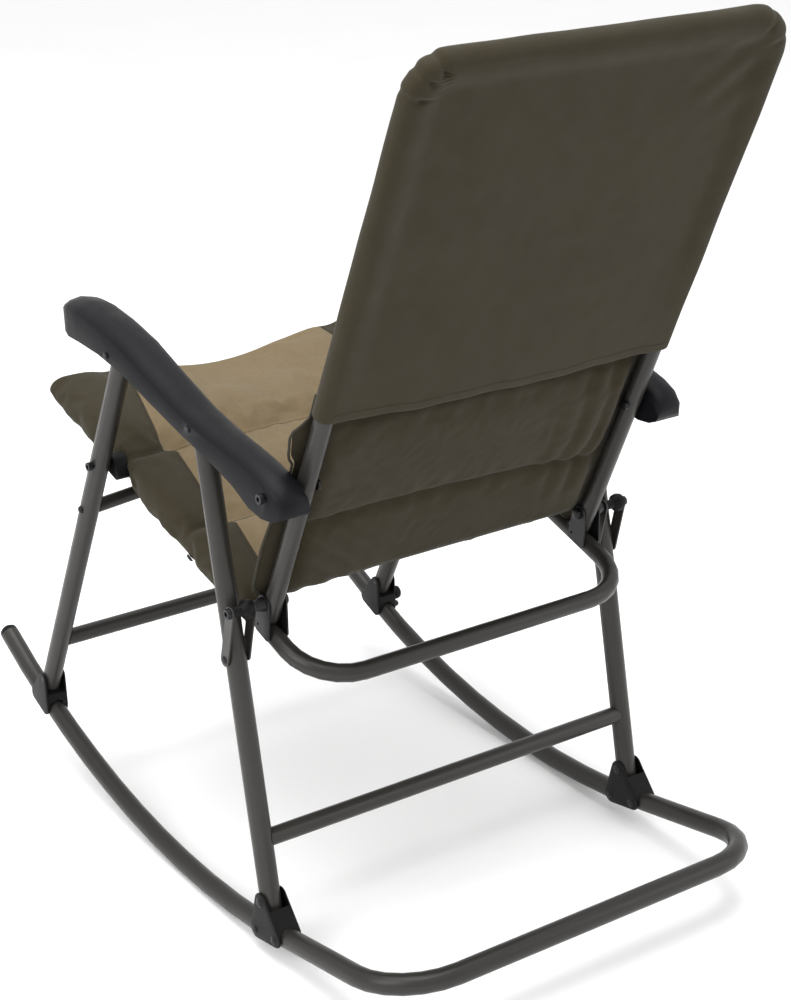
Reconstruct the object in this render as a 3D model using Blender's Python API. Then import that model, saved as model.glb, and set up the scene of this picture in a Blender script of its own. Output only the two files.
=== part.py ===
"""Folding camp rocking chair: steel tube frame, moulded arms, padded sling seat and back.

Metres, +Z up, origin on the floor under the middle of the chair. The sitter faces -Y and the
sitter's left is +X. Every sub-part is its own named object.
"""
import math

import bmesh
import bpy
from mathutils import Matrix, Vector

# ---------------------------------------------------------------- clearances and tube stock
GAP = 0.0003                 # air between touching pieces
LEG_X = 0.275                # centre plane of the legs and runners
FRAME_X = 0.2325             # centre plane of the back and seat tubes
LEG_R = 0.0127               # 25.4 mm rocker and leg tube
LEG_WALL = 0.0012
FRAME_R = 0.011              # 22 mm back and seat tube
FRAME_WALL = 0.0012
BAR_R = 0.011                # 22 mm welded cross bars
STRETCHER_R = 0.009          # 18 mm stretcher between the front legs
TUBE_SIDES = 16
SMALL_SIDES = 14

# ---------------------------------------------------------------- pivots, as (y, z)
# Arm, front leg, seat and back form a parallelogram: ARM_SPAN joins the two arm pivots and the
# two seat pivots, LEG_SPAN joins the two front pivots and the two rear pivots.
ARM_SPAN = (0.3310, -0.0715)
LEG_SPAN = (-0.0780, -0.1678)
ARM_FRONT_PIN = (-0.1205, 0.6665)
ARM_BOLT = (ARM_FRONT_PIN[0] + ARM_SPAN[0], ARM_FRONT_PIN[1] + ARM_SPAN[1])
SEAT_PIVOT = (ARM_FRONT_PIN[0] + LEG_SPAN[0], ARM_FRONT_PIN[1] + LEG_SPAN[1])
HINGE = (ARM_BOLT[0] + LEG_SPAN[0], ARM_BOLT[1] + LEG_SPAN[1])
ARM_REAR_PIN = (0.0600, 0.6290)
LINK_RIVET = (0.1180, 0.3622)
REAR_FOOT = (0.1815, 0.0692)

# ---------------------------------------------------------------- rocker base
ROCK_R = 1.10                # radius of the runner's centre line
ROCK_Y = 0.0                 # where the runners touch the floor
ROCK_Z = ROCK_R + LEG_R
RUN_FRONT_Y = -0.512
RUN_REAR_Y = 0.221
RUN_TAIL = 0.1447            # straight length between the arc and the corner bend
RUN_BEND = 0.0825
RUN_STEPS = 12
BEND_STEPS = 6
BOW_STEPS = 4
RUNNER_REAR = (0.1900, 0.0292)      # runner axis under the rear leg
RUNNER_FRONT = (-0.3990, 0.0907)    # runner axis under the front leg

# ---------------------------------------------------------------- brackets on the runners
PLATE = 0.0025
SADDLE_HALF = LEG_R + 0.0006
SADDLE_OUT = SADDLE_HALF + PLATE
REAR_PIVOT_V = 0.0409
FRONT_PIVOT_V = 0.0395

# ---------------------------------------------------------------- seat and back planes
SEAT_SLOPE = -0.2985
SEAT_Z0 = 0.42491            # seat tube axis height at y = 0
SEAT_FRONT_Y = -0.366
SEAT_FRONT_BOW = 0.022       # the front bar dips in the middle
SEAT_REAR_Y = 0.2240
SEAT_FRONT_BEND = 0.050
SEAT_REAR_BEND = 0.066
SEAT_SPLIT_Y = 0.1310        # the two seat tubes meet inside the hinge brackets
BACK_SLOPE = 0.43            # y gained per metre of height
BACK_AXIS = (0.1352, 0.4272)        # point on the back tube's axis beside the hinge bolt
BACK_TOP_Z = 1.088
BACK_BEND = 0.055
BACK_FOOT = 0.024            # tube below the hinge bolt

# ---------------------------------------------------------------- padding
SEAT_PAD_REACH = 0.482       # length from the hinge corner to the front hem
BACK_PAD_REACH = 0.752
COVER_SKIN = 0.0015
COVER_EASE = 0.0010
COVER_BOTTOM_Z = 0.700

OLIVE = (0.060, 0.056, 0.036)
TAN = (0.300, 0.240, 0.155)
PAINT = (0.080, 0.075, 0.068)
CHARCOAL = (0.034, 0.034, 0.040)
BLACK = (0.014, 0.014, 0.014)
ZINC = (0.030, 0.030, 0.032)


# ---------------------------------------------------------------- scene and materials
def clear_scene():
    for obj in list(bpy.data.objects):
        bpy.data.objects.remove(obj, do_unlink=True)


def material(name, colour, roughness, metallic):
    mat = bpy.data.materials.new(name)
    mat.use_nodes = True
    bsdf = mat.node_tree.nodes["Principled BSDF"]
    bsdf.inputs["Base Color"].default_value = (*colour, 1.0)
    bsdf.inputs["Roughness"].default_value = roughness
    bsdf.inputs["Metallic"].default_value = metallic
    return mat


def finish(name, mesh, look, smooth=True):
    """Link a mesh as a named object with a material of its own."""
    obj = bpy.data.objects.new(name, mesh)
    bpy.context.scene.collection.objects.link(obj)
    obj.data.materials.clear()
    obj.data.materials.append(material(name + "_mat", *look))
    if smooth:
        shade_round(obj)
    return obj


def shade_round(obj, angle=math.radians(38)):
    for poly in obj.data.polygons:
        poly.use_smooth = True
    obj.data.set_sharp_from_angle(angle=angle)


STEEL = (PAINT, 0.42, 0.55)
MOULDED = (CHARCOAL, 0.55, 0.0)
BRACKET = (BLACK, 0.50, 0.0)
HARDWARE = (ZINC, 0.40, 0.8)
CLOTH_OLIVE = (OLIVE, 0.85, 0.0)
CLOTH_TAN = (TAN, 0.85, 0.0)


# ---------------------------------------------------------------- mesh builders
def mesh_from(name, verts, faces):
    mesh = bpy.data.meshes.new(name)
    mesh.from_pydata([tuple(v) for v in verts], [], faces)
    bm = bmesh.new()
    bm.from_mesh(mesh)
    bmesh.ops.recalc_face_normals(bm, faces=bm.faces)
    bm.to_mesh(mesh)
    bm.free()
    return mesh


def path_frames(path):
    """Tangent and two cross axes at each point, carried along without twist."""
    count = len(path)
    tangents = []
    for i in range(count):
        before = path[max(i - 1, 0)]
        after = path[min(i + 1, count - 1)]
        tangents.append((after - before).normalized())
    seed = Vector((0, 0, 1)) if abs(tangents[0].z) < 0.9 else Vector((0, 1, 0))
    side = tangents[0].cross(seed).normalized()
    frames = []
    for i, tangent in enumerate(tangents):
        if i:
            turn = tangents[i - 1].rotation_difference(tangent)
            side = turn @ side
        side = (side - tangent * side.dot(tangent)).normalized()
        frames.append((side, tangent.cross(side)))
    return tangents, frames


def mitred_rings(path, radius, sides):
    """Rings cut on the bisecting plane, so straight runs keep their full diameter."""
    tangents, frames = path_frames(path)
    rings = []
    for i, centre in enumerate(path):
        side, up = frames[i]
        ring = []
        for k in range(sides):
            angle = 2 * math.pi * k / sides
            ring.append(centre + side * (radius * math.cos(angle)) + up * (radius * math.sin(angle)))
        rings.append(ring)
    return rings


def tube(name, path, radius, wall, look, sides=TUBE_SIDES):
    """Hollow round tube along a path, open at both ends."""
    points = [Vector(p) for p in path]
    outer = mitred_rings(points, radius, sides)
    inner = mitred_rings(points, radius - wall, sides)
    verts = [v for ring in outer for v in ring] + [v for ring in inner for v in ring]
    base = len(outer) * sides
    faces = []
    for i in range(len(outer) - 1):
        for k in range(sides):
            n = (k + 1) % sides
            a, b = i * sides + k, i * sides + n
            c, d = (i + 1) * sides + n, (i + 1) * sides + k
            faces.append((a, b, c, d))
            faces.append((base + a, base + d, base + c, base + b))
    last = (len(outer) - 1) * sides
    for k in range(sides):
        n = (k + 1) % sides
        faces.append((k, base + k, base + n, n))
        faces.append((last + k, last + n, base + last + n, base + last + k))
    return finish(name, mesh_from(name, verts, faces), look)


def lathe_x(name, centre, profile, look, sides=SMALL_SIDES, smooth=True):
    """Solid turned about an X axis through centre = (y, z); profile is (x, radius) from end to end."""
    verts, faces, rows = [], [], []
    for x, radius in profile:
        if radius <= 0.0:
            rows.append([len(verts)])
            verts.append((x, centre[0], centre[1]))
            continue
        row = []
        for k in range(sides):
            angle = 2 * math.pi * k / sides
            row.append(len(verts))
            verts.append((x, centre[0] + radius * math.cos(angle), centre[1] + radius * math.sin(angle)))
        rows.append(row)
    for first, second in zip(rows, rows[1:]):
        for k in range(sides):
            n = (k + 1) % sides
            if len(first) == 1:
                faces.append((first[0], second[k], second[n]))
            elif len(second) == 1:
                faces.append((first[k], second[0], first[n]))
            else:
                faces.append((first[k], second[k], second[n], first[n]))
    if len(rows[0]) > 1:
        faces.append(tuple(rows[0]))
    if len(rows[-1]) > 1:
        faces.append(tuple(rows[-1]))
    return finish(name, mesh_from(name, verts, faces), look, smooth)


def slab_x(name, outline, x_low, x_high, look):
    """Flat plate: an outline of (y, z) points between two X planes."""
    count = len(outline)
    verts = [(x_low, y, z) for y, z in outline] + [(x_high, y, z) for y, z in outline]
    faces = [tuple(range(count)), tuple(range(count, 2 * count))]
    for k in range(count):
        n = (k + 1) % count
        faces.append((k, n, count + n, count + k))
    return finish(name, mesh_from(name, verts, faces), look)


def hull_outline(circles, steps=14):
    """Rounded outline around circles given as (y, z, radius)."""
    points = []
    for y, z, radius in circles:
        for k in range(steps):
            angle = 2 * math.pi * k / steps
            points.append((y + radius * math.cos(angle), z + radius * math.sin(angle)))
    points = sorted(set(points))

    def half(sequence):
        chain = []
        for p in sequence:
            while len(chain) > 1:
                (ay, az), (by, bz) = chain[-2], chain[-1]
                if (by - ay) * (p[1] - az) - (bz - az) * (p[0] - ay) > 1e-12:
                    break
                chain.pop()
            chain.append(p)
        return chain[:-1]

    return half(points) + half(points[::-1])


def box_between(name, low, high, look=BRACKET):
    verts = [(x, y, z) for x in (low[0], high[0]) for y in (low[1], high[1]) for z in (low[2], high[2])]
    faces = [(0, 1, 3, 2), (4, 6, 7, 5), (0, 4, 5, 1), (2, 3, 7, 6), (0, 2, 6, 4), (1, 5, 7, 3)]
    return finish(name, mesh_from(name, verts, faces), look, smooth=False)


def cut(obj, cutter, operation="DIFFERENCE"):
    """Boolean with a throwaway cutter."""
    cutter.hide_render = True
    cutter.display_type = "WIRE"
    mod = obj.modifiers.new("cut", "BOOLEAN")
    mod.operation = operation
    mod.solver = "EXACT"
    mod.object = cutter
    apply_modifiers(obj)
    bpy.data.objects.remove(cutter, do_unlink=True)
    return obj


def apply_modifiers(obj):
    graph = bpy.context.evaluated_depsgraph_get()
    graph.update()
    mesh = bpy.data.meshes.new_from_object(obj.evaluated_get(graph))
    obj.modifiers.clear()
    obj.data = mesh
    bm = bmesh.new()
    bm.from_mesh(mesh)
    bmesh.ops.remove_doubles(bm, verts=bm.verts, dist=1e-6)
    bmesh.ops.dissolve_degenerate(bm, edges=bm.edges, dist=1e-6)
    bm.to_mesh(mesh)
    bm.free()
    shade_round(obj)


def drill_x(obj, centre, radius, x_low, x_high, sides=SMALL_SIDES):
    """Cross hole along X with air around a pin of that radius."""
    size = (radius + GAP) / math.cos(math.pi / sides)
    cutter = lathe_x("drill", centre, [(x_low, size), (x_high, size)], HARDWARE, sides)
    return cut(obj, cutter)


def bevel(obj, width, segments, angle=math.radians(50)):
    mod = obj.modifiers.new("bevel", "BEVEL")
    mod.width = width
    mod.segments = segments
    mod.limit_method = "ANGLE"
    mod.angle_limit = angle
    mod.use_clamp_overlap = True
    apply_modifiers(obj)


def both_sides(build):
    """Build a piece for the sitter's left (+X) and right (-X)."""
    for tag, side in (("left", 1), ("right", -1)):
        build(tag, side)


def along(start, end, distance):
    """Point on the line start -> end at a distance from start, in (y, z)."""
    dy, dz = end[0] - start[0], end[1] - start[1]
    length = math.hypot(dy, dz)
    return (start[0] + dy / length * distance, start[1] + dz / length * distance)


def seat_z(y):
    return SEAT_Z0 + SEAT_SLOPE * y


def back_y(z):
    return BACK_AXIS[0] + BACK_SLOPE * (z - BACK_AXIS[1])


# ---------------------------------------------------------------- paths
def corner(centre, arm_a, arm_b, radius, steps):
    """Quarter bend: starts at centre + arm_a * radius and ends at centre + arm_b * radius."""
    points = []
    for k in range(steps + 1):
        angle = 0.5 * math.pi * k / steps
        points.append(centre + arm_a * (radius * math.cos(angle)) + arm_b * (radius * math.sin(angle)))
    return points


def runner_angle(y):
    return math.asin((y - ROCK_Y) / ROCK_R)


def rocker_path():
    start, end = runner_angle(RUN_FRONT_Y), runner_angle(RUN_REAR_Y)
    left = []
    for k in range(RUN_STEPS + 1):
        angle = start + (end - start) * k / RUN_STEPS
        left.append(Vector((LEG_X, ROCK_Y + ROCK_R * math.sin(angle), ROCK_Z - ROCK_R * math.cos(angle))))
    tangent = Vector((0, math.cos(end), math.sin(end)))
    bend_centre = left[-1] + tangent * RUN_TAIL - Vector((RUN_BEND, 0, 0))
    left += corner(bend_centre, Vector((1, 0, 0)), tangent, RUN_BEND, BEND_STEPS)
    return left + [Vector((-p.x, p.y, p.z)) for p in reversed(left)]


def seat_path(front):
    along_y = Vector((0, 1, SEAT_SLOPE)).normalized()
    split_y = SEAT_SPLIT_Y - 0.5 * GAP if front else SEAT_SPLIT_Y + 0.5 * GAP
    bar_y = SEAT_FRONT_Y if front else SEAT_REAR_Y
    radius = SEAT_FRONT_BEND if front else SEAT_REAR_BEND
    direction = -along_y if front else along_y
    start = Vector((FRAME_X, split_y, seat_z(split_y)))
    bar = Vector((FRAME_X, bar_y, seat_z(bar_y)))
    bend_centre = bar - direction * radius - Vector((radius, 0, 0))
    left = [start] + corner(bend_centre, Vector((1, 0, 0)), direction, radius, BEND_STEPS)
    if front:
        reach = FRAME_X - radius
        for k in range(1, BOW_STEPS + 1):
            x = reach * (1.0 - k / BOW_STEPS)
            dip = SEAT_FRONT_BOW * (1.0 - (x / reach) ** 2) ** 2
            left.append(Vector((x, bar.y, bar.z - dip)))
        return left + [Vector((-p.x, p.y, p.z)) for p in reversed(left[:-1])]
    return left + [Vector((-p.x, p.y, p.z)) for p in reversed(left)]


def back_path():
    up = Vector((0, BACK_SLOPE, 1)).normalized()
    foot = Vector((FRAME_X, *BACK_AXIS)) - up * BACK_FOOT
    top = Vector((FRAME_X, back_y(BACK_TOP_Z), BACK_TOP_Z))
    bend_centre = top - up * BACK_BEND - Vector((BACK_BEND, 0, 0))
    left = [foot] + corner(bend_centre, Vector((1, 0, 0)), up, BACK_BEND, BEND_STEPS)
    return left + [Vector((-p.x, p.y, p.z)) for p in reversed(left)]


# ---------------------------------------------------------------- rocker base
def build_rocker():
    base = tube("rocker_base_tube", rocker_path(), LEG_R, LEG_WALL, STEEL)
    for side in (1, -1):
        for u in RIVET_U:
            y, z = runner_point(RUNNER_REAR, u, 0.0)
            drill_x(base, (y, z), RIVET_R, side * 0.255, side * 0.295)

    path = rocker_path()
    forward = (path[0] - path[1]).normalized()
    tip = Vector((0, path[0].y, path[0].z))

    def end_cap(tag, side):
        cap = lathe_x(f"runner_cap_{tag}", (0.0, 0.0), CAP_PROFILE, MOULDED, TUBE_SIDES)
        turn = Vector((1, 0, 0)).rotation_difference(forward).to_matrix().to_4x4()
        place = Matrix.Translation(tip + Vector((side * LEG_X, 0, 0))) @ turn
        cap.data.transform(place)

    both_sides(end_cap)


CAP_PROFILE = [(-0.014, 0.0), (-0.014, 0.0098), (GAP, 0.0110), (GAP, LEG_R), (0.006, 0.0118),
               (0.0095, 0.0080), (0.0105, 0.0)]
RIVET_R = 0.0030
RIVET_U = (-0.0205, 0.0215)
LATCH_PIN_R = 0.0030


def runner_point(origin, u, v):
    """Point beside the runner: u along its tangent, v towards the arc's centre."""
    angle = runner_angle(origin[0])
    return (origin[0] + u * math.cos(angle) - v * math.sin(angle),
            origin[1] + u * math.sin(angle) + v * math.cos(angle))


def saddle(name, origin, circles, side, pin, leg_top, swings):
    """Bracket over a runner: two cheeks joined by a web between the runner and the leg's end."""
    outline = hull_outline([(*runner_point(origin, u, v), radius) for u, v, radius in circles])
    body = slab_x(name, outline, side * LEG_X - SADDLE_OUT, side * LEG_X + SADDLE_OUT, BRACKET)
    bevel(body, 0.0012, 2)
    room = 0.060
    if swings:
        swing = math.hypot(LEG_END, LEG_R) + 2 * GAP
        turn = lathe_x("leg_swing", pin, [(-SADDLE_HALF, swing), (SADDLE_HALF, swing)], BRACKET, 32)
        turn.data.transform(Matrix.Translation((side * LEG_X, 0, 0)))
        cut(body, turn)
        slot_from = 0.0
    else:
        slot_from = -LEG_END - GAP
    axis = Vector((0, leg_top[0] - pin[0], leg_top[1] - pin[1])).normalized()
    lift = box_between("leg_slot", (-SADDLE_HALF, -room, slot_from), (SADDLE_HALF, room, 2 * room))
    tilt = Vector((0, 0, 1)).rotation_difference(axis).to_matrix().to_4x4()
    lift.data.transform(Matrix.Translation((side * LEG_X, *pin)) @ tilt)
    cut(body, lift)
    slot = box_between("runner_slot", (-SADDLE_HALF, -room, -room), (SADDLE_HALF, room, 0.0))
    place = Matrix.Translation((side * LEG_X, *origin)) @ Matrix.Rotation(runner_angle(origin[0]), 4, "X")
    slot.data.transform(place)
    cut(body, slot)
    size = SADDLE_HALF / math.cos(math.pi / 24)
    bore = lathe_x("runner_bore", (0.0, 0.0), [(-room, size), (room, size)], BRACKET, 24)
    bore.data.transform(place @ Matrix.Rotation(math.radians(90), 4, "Z"))
    cut(body, bore)
    return body


REAR_SADDLE = [(-0.0005, REAR_PIVOT_V, 0.0120), (-0.0190, 0.0015, 0.0115), (0.0240, 0.0025, 0.0115)]
FRONT_SADDLE = [(0.0032, FRONT_PIVOT_V, 0.0090), (-0.0090, 0.0, 0.0105), (0.0200, 0.0, 0.0105)]
LEG_END = 0.0150              # leg tube beyond the foot pin
LEG_CROWN = 0.0045            # leg tube beyond the arm pin


def rivet_profile(side, low, high, radius, head):
    """Shaft between two faces with a low domed head on each."""
    centre = side * LEG_X
    return [(centre + low - head, 0.0), (centre + low - head, radius * 0.9), (centre + low - GAP, radius * 1.8),
            (centre + low - GAP, radius), (centre + high + GAP, radius), (centre + high + GAP, radius * 1.8),
            (centre + high + head, radius * 0.9), (centre + high + head, 0.0)]


def build_rear_brackets():
    def rear(tag, side):
        body = saddle(f"rear_bracket_{tag}", RUNNER_REAR, REAR_SADDLE, side, REAR_FOOT, ARM_REAR_PIN, True)
        span = (side * LEG_X - 0.030, side * LEG_X + 0.030)
        drill_x(body, REAR_FOOT, FOOT_PIN_R, *span)
        for u in RIVET_U:
            drill_x(body, runner_point(RUNNER_REAR, u, 0.0), RIVET_R, *span)
        for index, u in enumerate(RIVET_U):
            place = runner_point(RUNNER_REAR, u, 0.0)
            profile = rivet_profile(side, -SADDLE_OUT, SADDLE_OUT, RIVET_R, 0.0018)
            lathe_x(f"bracket_rivet_{tag}_{('front', 'rear')[index]}", place, profile, HARDWARE, 12)
        profile = rivet_profile(side, -SADDLE_OUT, SADDLE_OUT, FOOT_PIN_R, 0.0022)
        lathe_x(f"rear_foot_pin_{tag}", REAR_FOOT, profile, HARDWARE, 12)

    both_sides(rear)


FOOT_PIN_R = 0.0035
FRONT_FOOT = along(RUNNER_FRONT, ARM_FRONT_PIN, 0.0396)


# ---------------------------------------------------------------- legs
def leg(name, side, foot, top, below, above, holes):
    low = along(foot, top, -below)
    high = along(top, foot, -above)
    path = [(side * LEG_X, *low), (side * LEG_X, *high)]
    body = tube(name, path, LEG_R, LEG_WALL, STEEL)
    for centre, radius in holes:
        drill_x(body, centre, radius, side * LEG_X - 0.02, side * LEG_X + 0.02)
    return body


def cope(bar, at, foot, top):
    """Trim a bar's ends to sit on the round legs."""
    for side in (1, -1):
        sides = 24
        size = (LEG_R + GAP) / math.cos(math.pi / sides)
        cutter = lathe_x("cope", (0.0, 0.0), [(-0.1, size), (0.1, size)], STEEL, sides)
        axis = Vector((0, top[0] - foot[0], top[1] - foot[1])).normalized()
        turn = Vector((1, 0, 0)).rotation_difference(axis).to_matrix().to_4x4()
        cutter.data.transform(Matrix.Translation((side * LEG_X, *at)) @ turn)
        cut(bar, cutter)


def cross_bar(name, at, radius, foot, top, bow=0.0, steps=1):
    """Bar between a pair of legs; bow lifts its middle along Z."""
    path = []
    for k in range(steps + 1):
        x = LEG_X - 0.004 - 2 * (LEG_X - 0.004) * k / steps
        rise = bow * (1.0 - (x / LEG_X) ** 4) if steps > 1 else 0.0
        path.append((x, at[0], at[1] + rise))
    bar = tube(name, path, radius, 0.0012, STEEL, 16)
    cope(bar, at, foot, top)
    return bar


REAR_BAR_AT = along(REAR_FOOT, ARM_REAR_PIN, 0.0745)
FRONT_BAR_AT = along(RUNNER_FRONT, ARM_FRONT_PIN, 0.1175)
STRETCHER_AT = along(RUNNER_FRONT, ARM_FRONT_PIN, 0.3720)
STRETCHER_SCREW_AT = along(RUNNER_FRONT, ARM_FRONT_PIN, 0.3540)
ARM_PIN_R = 0.0030
BOLT_R = 0.0030


def build_legs():
    def rear(tag, side):
        holes = [(REAR_FOOT, FOOT_PIN_R), (ARM_REAR_PIN, ARM_PIN_R)]
        leg(f"rear_leg_{tag}", side, REAR_FOOT, ARM_REAR_PIN, LEG_END, LEG_CROWN, holes)

    def front(tag, side):
        holes = [(FRONT_FOOT, FOOT_PIN_R), (SEAT_PIVOT, BOLT_R), (ARM_FRONT_PIN, ARM_PIN_R)]
        leg(f"front_leg_{tag}", side, FRONT_FOOT, ARM_FRONT_PIN, LEG_END, LEG_CROWN, holes)
        saddle_body = saddle(f"front_bracket_{tag}", RUNNER_FRONT, FRONT_SADDLE, side, FRONT_FOOT,
                             ARM_FRONT_PIN, False)
        span = (side * LEG_X - 0.030, side * LEG_X + 0.030)
        drill_x(saddle_body, FRONT_FOOT, FOOT_PIN_R, *span)
        if side < 0:
            axis = runner_point(RUNNER_FRONT, 0.0, 0.0)
            drill_x(saddle_body, axis, LATCH_PIN_R, -LEG_X - 0.030, -LEG_X)
            drill_x(saddle_body, LATCH_SCREW_AT, LATCH_SCREW_R, -LEG_X - 0.030, -LEG_X)
        profile = rivet_profile(side, -SADDLE_OUT + 0.0006, SADDLE_OUT - 0.0006, FOOT_PIN_R, 0.0004)
        flush = [(x, min(radius, FOOT_PIN_R)) for x, radius in profile]
        flush = [flush[0], (flush[0][0], FOOT_PIN_R), (flush[-1][0], FOOT_PIN_R), flush[-1]]
        lathe_x(f"front_foot_pin_{tag}", FRONT_FOOT, flush, HARDWARE, 12)

    both_sides(rear)
    both_sides(front)
    cross_bar("rear_cross_bar", REAR_BAR_AT, BAR_R, REAR_FOOT, ARM_REAR_PIN)
    cross_bar("front_cross_bar", FRONT_BAR_AT, BAR_R, RUNNER_FRONT, ARM_FRONT_PIN)
    cross_bar("front_stretcher", STRETCHER_AT, STRETCHER_R, RUNNER_FRONT, ARM_FRONT_PIN, 0.010, 8)


# ---------------------------------------------------------------- latch on the right front bracket
LATCH_SCREW_AT = runner_point(RUNNER_FRONT, 0.0215, 0.001)
LATCH_SCREW_R = 0.0022
COLLAR_R = 0.0075
COLLAR_BORE = 0.0034
PULL_STROKE = 0.008


def build_latch():
    axis = runner_point(RUNNER_FRONT, 0.0, 0.0)
    face = -LEG_X - SADDLE_OUT - GAP
    collar = lathe_x("latch_collar", axis, [(face, COLLAR_R), (face - 0.0075, COLLAR_R * 0.86)], BRACKET, 18)
    drill_x(collar, axis, LATCH_PIN_R, face - 0.02, face + 0.02)
    tip = -LEG_X - LEG_R - GAP
    head = face - 0.0075 - GAP
    knob = [(tip, 0.0), (tip, LATCH_PIN_R), (head, LATCH_PIN_R), (head, 0.0062), (head - 0.0045, 0.0062),
            (head - 0.0062, 0.0098), (head - 0.0105, 0.0106), (head - 0.0150, 0.0092), (head - 0.0178, 0.0050),
            (head - 0.0185, 0.0)]
    lathe_x("latch_knob", axis, knob, MOULDED, 18)
    screw = [(-LEG_X - SADDLE_HALF - 0.0006, 0.0), (-LEG_X - SADDLE_HALF - 0.0006, LATCH_SCREW_R),
             (face, LATCH_SCREW_R), (face, 0.0046), (face - 0.0066, 0.0046), (face - 0.0080, 0.0034),
             (face - 0.0080, 0.0)]
    lathe_x("latch_screw", LATCH_SCREW_AT, screw, HARDWARE, 12)


# ---------------------------------------------------------------- hinge and links at the back of the seat
HINGE_BOLT_R = 0.0040
LINK_STUD_R = 0.0030
LINK_R = 0.0080
LINK_IN = LEG_X - LEG_R - 0.0008
LINK_OUT = LEG_X + LEG_R + 0.0008
LINK_THICK = 0.0020
CHEEK_THICK = 0.0020
CHEEK_IN = FRAME_X - FRAME_R - GAP
CHEEK_OUT = FRAME_X + FRAME_R + GAP
HINGE_TOE_Y = 0.1180
HINGE_RISE = 0.0045          # lower corners above the seat tube's axis
WELD_HOLE_R = 0.0016
HINGE_TAIL_Y = 0.1375


def above_seat_tube(y, rise):
    """Point over the seat tube's axis, in (y, z)."""
    tilt = math.atan(SEAT_SLOPE)
    return (y - rise * math.sin(tilt), seat_z(y) + rise * math.cos(tilt))


def build_hinges():
    """Cheek plates beside the tubes on each side, with the long bolt that carries the links."""
    toe_at = above_seat_tube(HINGE_TOE_Y, HINGE_RISE)
    tail_at = above_seat_tube(HINGE_TAIL_Y, HINGE_RISE)
    weld_hole_at = above_seat_tube(HINGE_TOE_Y, HINGE_RISE + 0.0035)
    outline = hull_outline([(*HINGE, 0.0112), (*toe_at, 0.0060), (*tail_at, 0.0060)])
    low, high = CHEEK_IN - CHEEK_THICK, CHEEK_OUT + CHEEK_THICK

    def hinge(tag, side):
        inner = slab_x(f"hinge_plate_inner_{tag}", outline, side * low, side * CHEEK_IN, BRACKET)
        outer = slab_x(f"hinge_plate_outer_{tag}", outline, side * CHEEK_OUT, side * high, BRACKET)
        boss = [(high - 0.0010, 0.0090), (high + 0.0050, 0.0082), (LINK_IN - LINK_THICK - GAP, 0.0052)]
        collar = lathe_x("hinge_boss", HINGE, [(side * x, r) for x, r in boss], BRACKET, SMALL_SIDES)
        cut(outer, collar, "UNION")
        for plate in (inner, outer):
            drill_x(plate, HINGE, HINGE_BOLT_R, side * 0.20, side * 0.27)
            drill_x(plate, weld_hole_at, WELD_HOLE_R, side * 0.20, side * 0.27)

        nut = low - GAP
        end = LINK_OUT + LINK_THICK + GAP
        bolt = [(nut - 0.0052, 0.0), (nut - 0.0052, 0.0046), (nut - 0.0040, 0.0072), (nut, 0.0072),
                (nut, HINGE_BOLT_R), (end, HINGE_BOLT_R), (end, 0.0066), (end + 0.0042, 0.0060),
                (end + 0.0042, 0.0030), (end + 0.0024, 0.0030), (end + 0.0024, 0.0)]
        lathe_x(f"hinge_bolt_{tag}", HINGE, [(side * x, r) for x, r in bolt], HARDWARE, SMALL_SIDES)

        start, finish_x = LINK_IN + GAP, LINK_OUT - GAP
        cone = [(0.0, 0.0104), (0.0050, 0.0118), (0.0100, 0.0108), (0.0145, 0.0062), (finish_x - start, 0.0054)]
        roller = [(start + x, r) for x, r in cone]
        if side < 0:
            roller = [(finish_x - x, r) for x, r in cone]
        wheel = lathe_x(f"stop_roller_{tag}", HINGE, [(side * x, r) for x, r in roller], BRACKET, 18)
        drill_x(wheel, HINGE, HINGE_BOLT_R, side * 0.25, side * 0.30)

    both_sides(hinge)


def build_links():
    """Short links each side of the rear leg; a stud on each bears on the leg."""
    def link(tag, side):
        outline = hull_outline([(*LINK_RIVET, LINK_R), (*HINGE, LINK_R)], 16)
        for place, low, out in (("inner", LINK_IN - LINK_THICK, -1), ("outer", LINK_OUT, 1)):
            plate = slab_x(f"link_{place}_{tag}", outline, side * low, side * (low + LINK_THICK), STEEL)
            drill_x(plate, LINK_RIVET, LINK_STUD_R, side * (low - 0.01), side * (low + 0.01))
            drill_x(plate, HINGE, HINGE_BOLT_R, side * (low - 0.01), side * (low + 0.01))
            near = LEG_X + out * (LEG_R + GAP)
            far = LEG_X + out * (LEG_R + 0.0008 + LINK_THICK + GAP)
            stud = [(near, 0.0), (near, LINK_STUD_R), (far, LINK_STUD_R), (far, 0.0056),
                    (far + out * 0.0017, 0.0032), (far + out * 0.0017, 0.0)]
            lathe_x(f"link_stud_{place}_{tag}", LINK_RIVET, [(side * x, r) for x, r in stud], HARDWARE, 12)

    both_sides(link)


# ---------------------------------------------------------------- seat pivot on the front legs
PIVOT_IN = FRAME_X + FRAME_R + GAP
PIVOT_OUT = LEG_X - LEG_R - GAP


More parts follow.
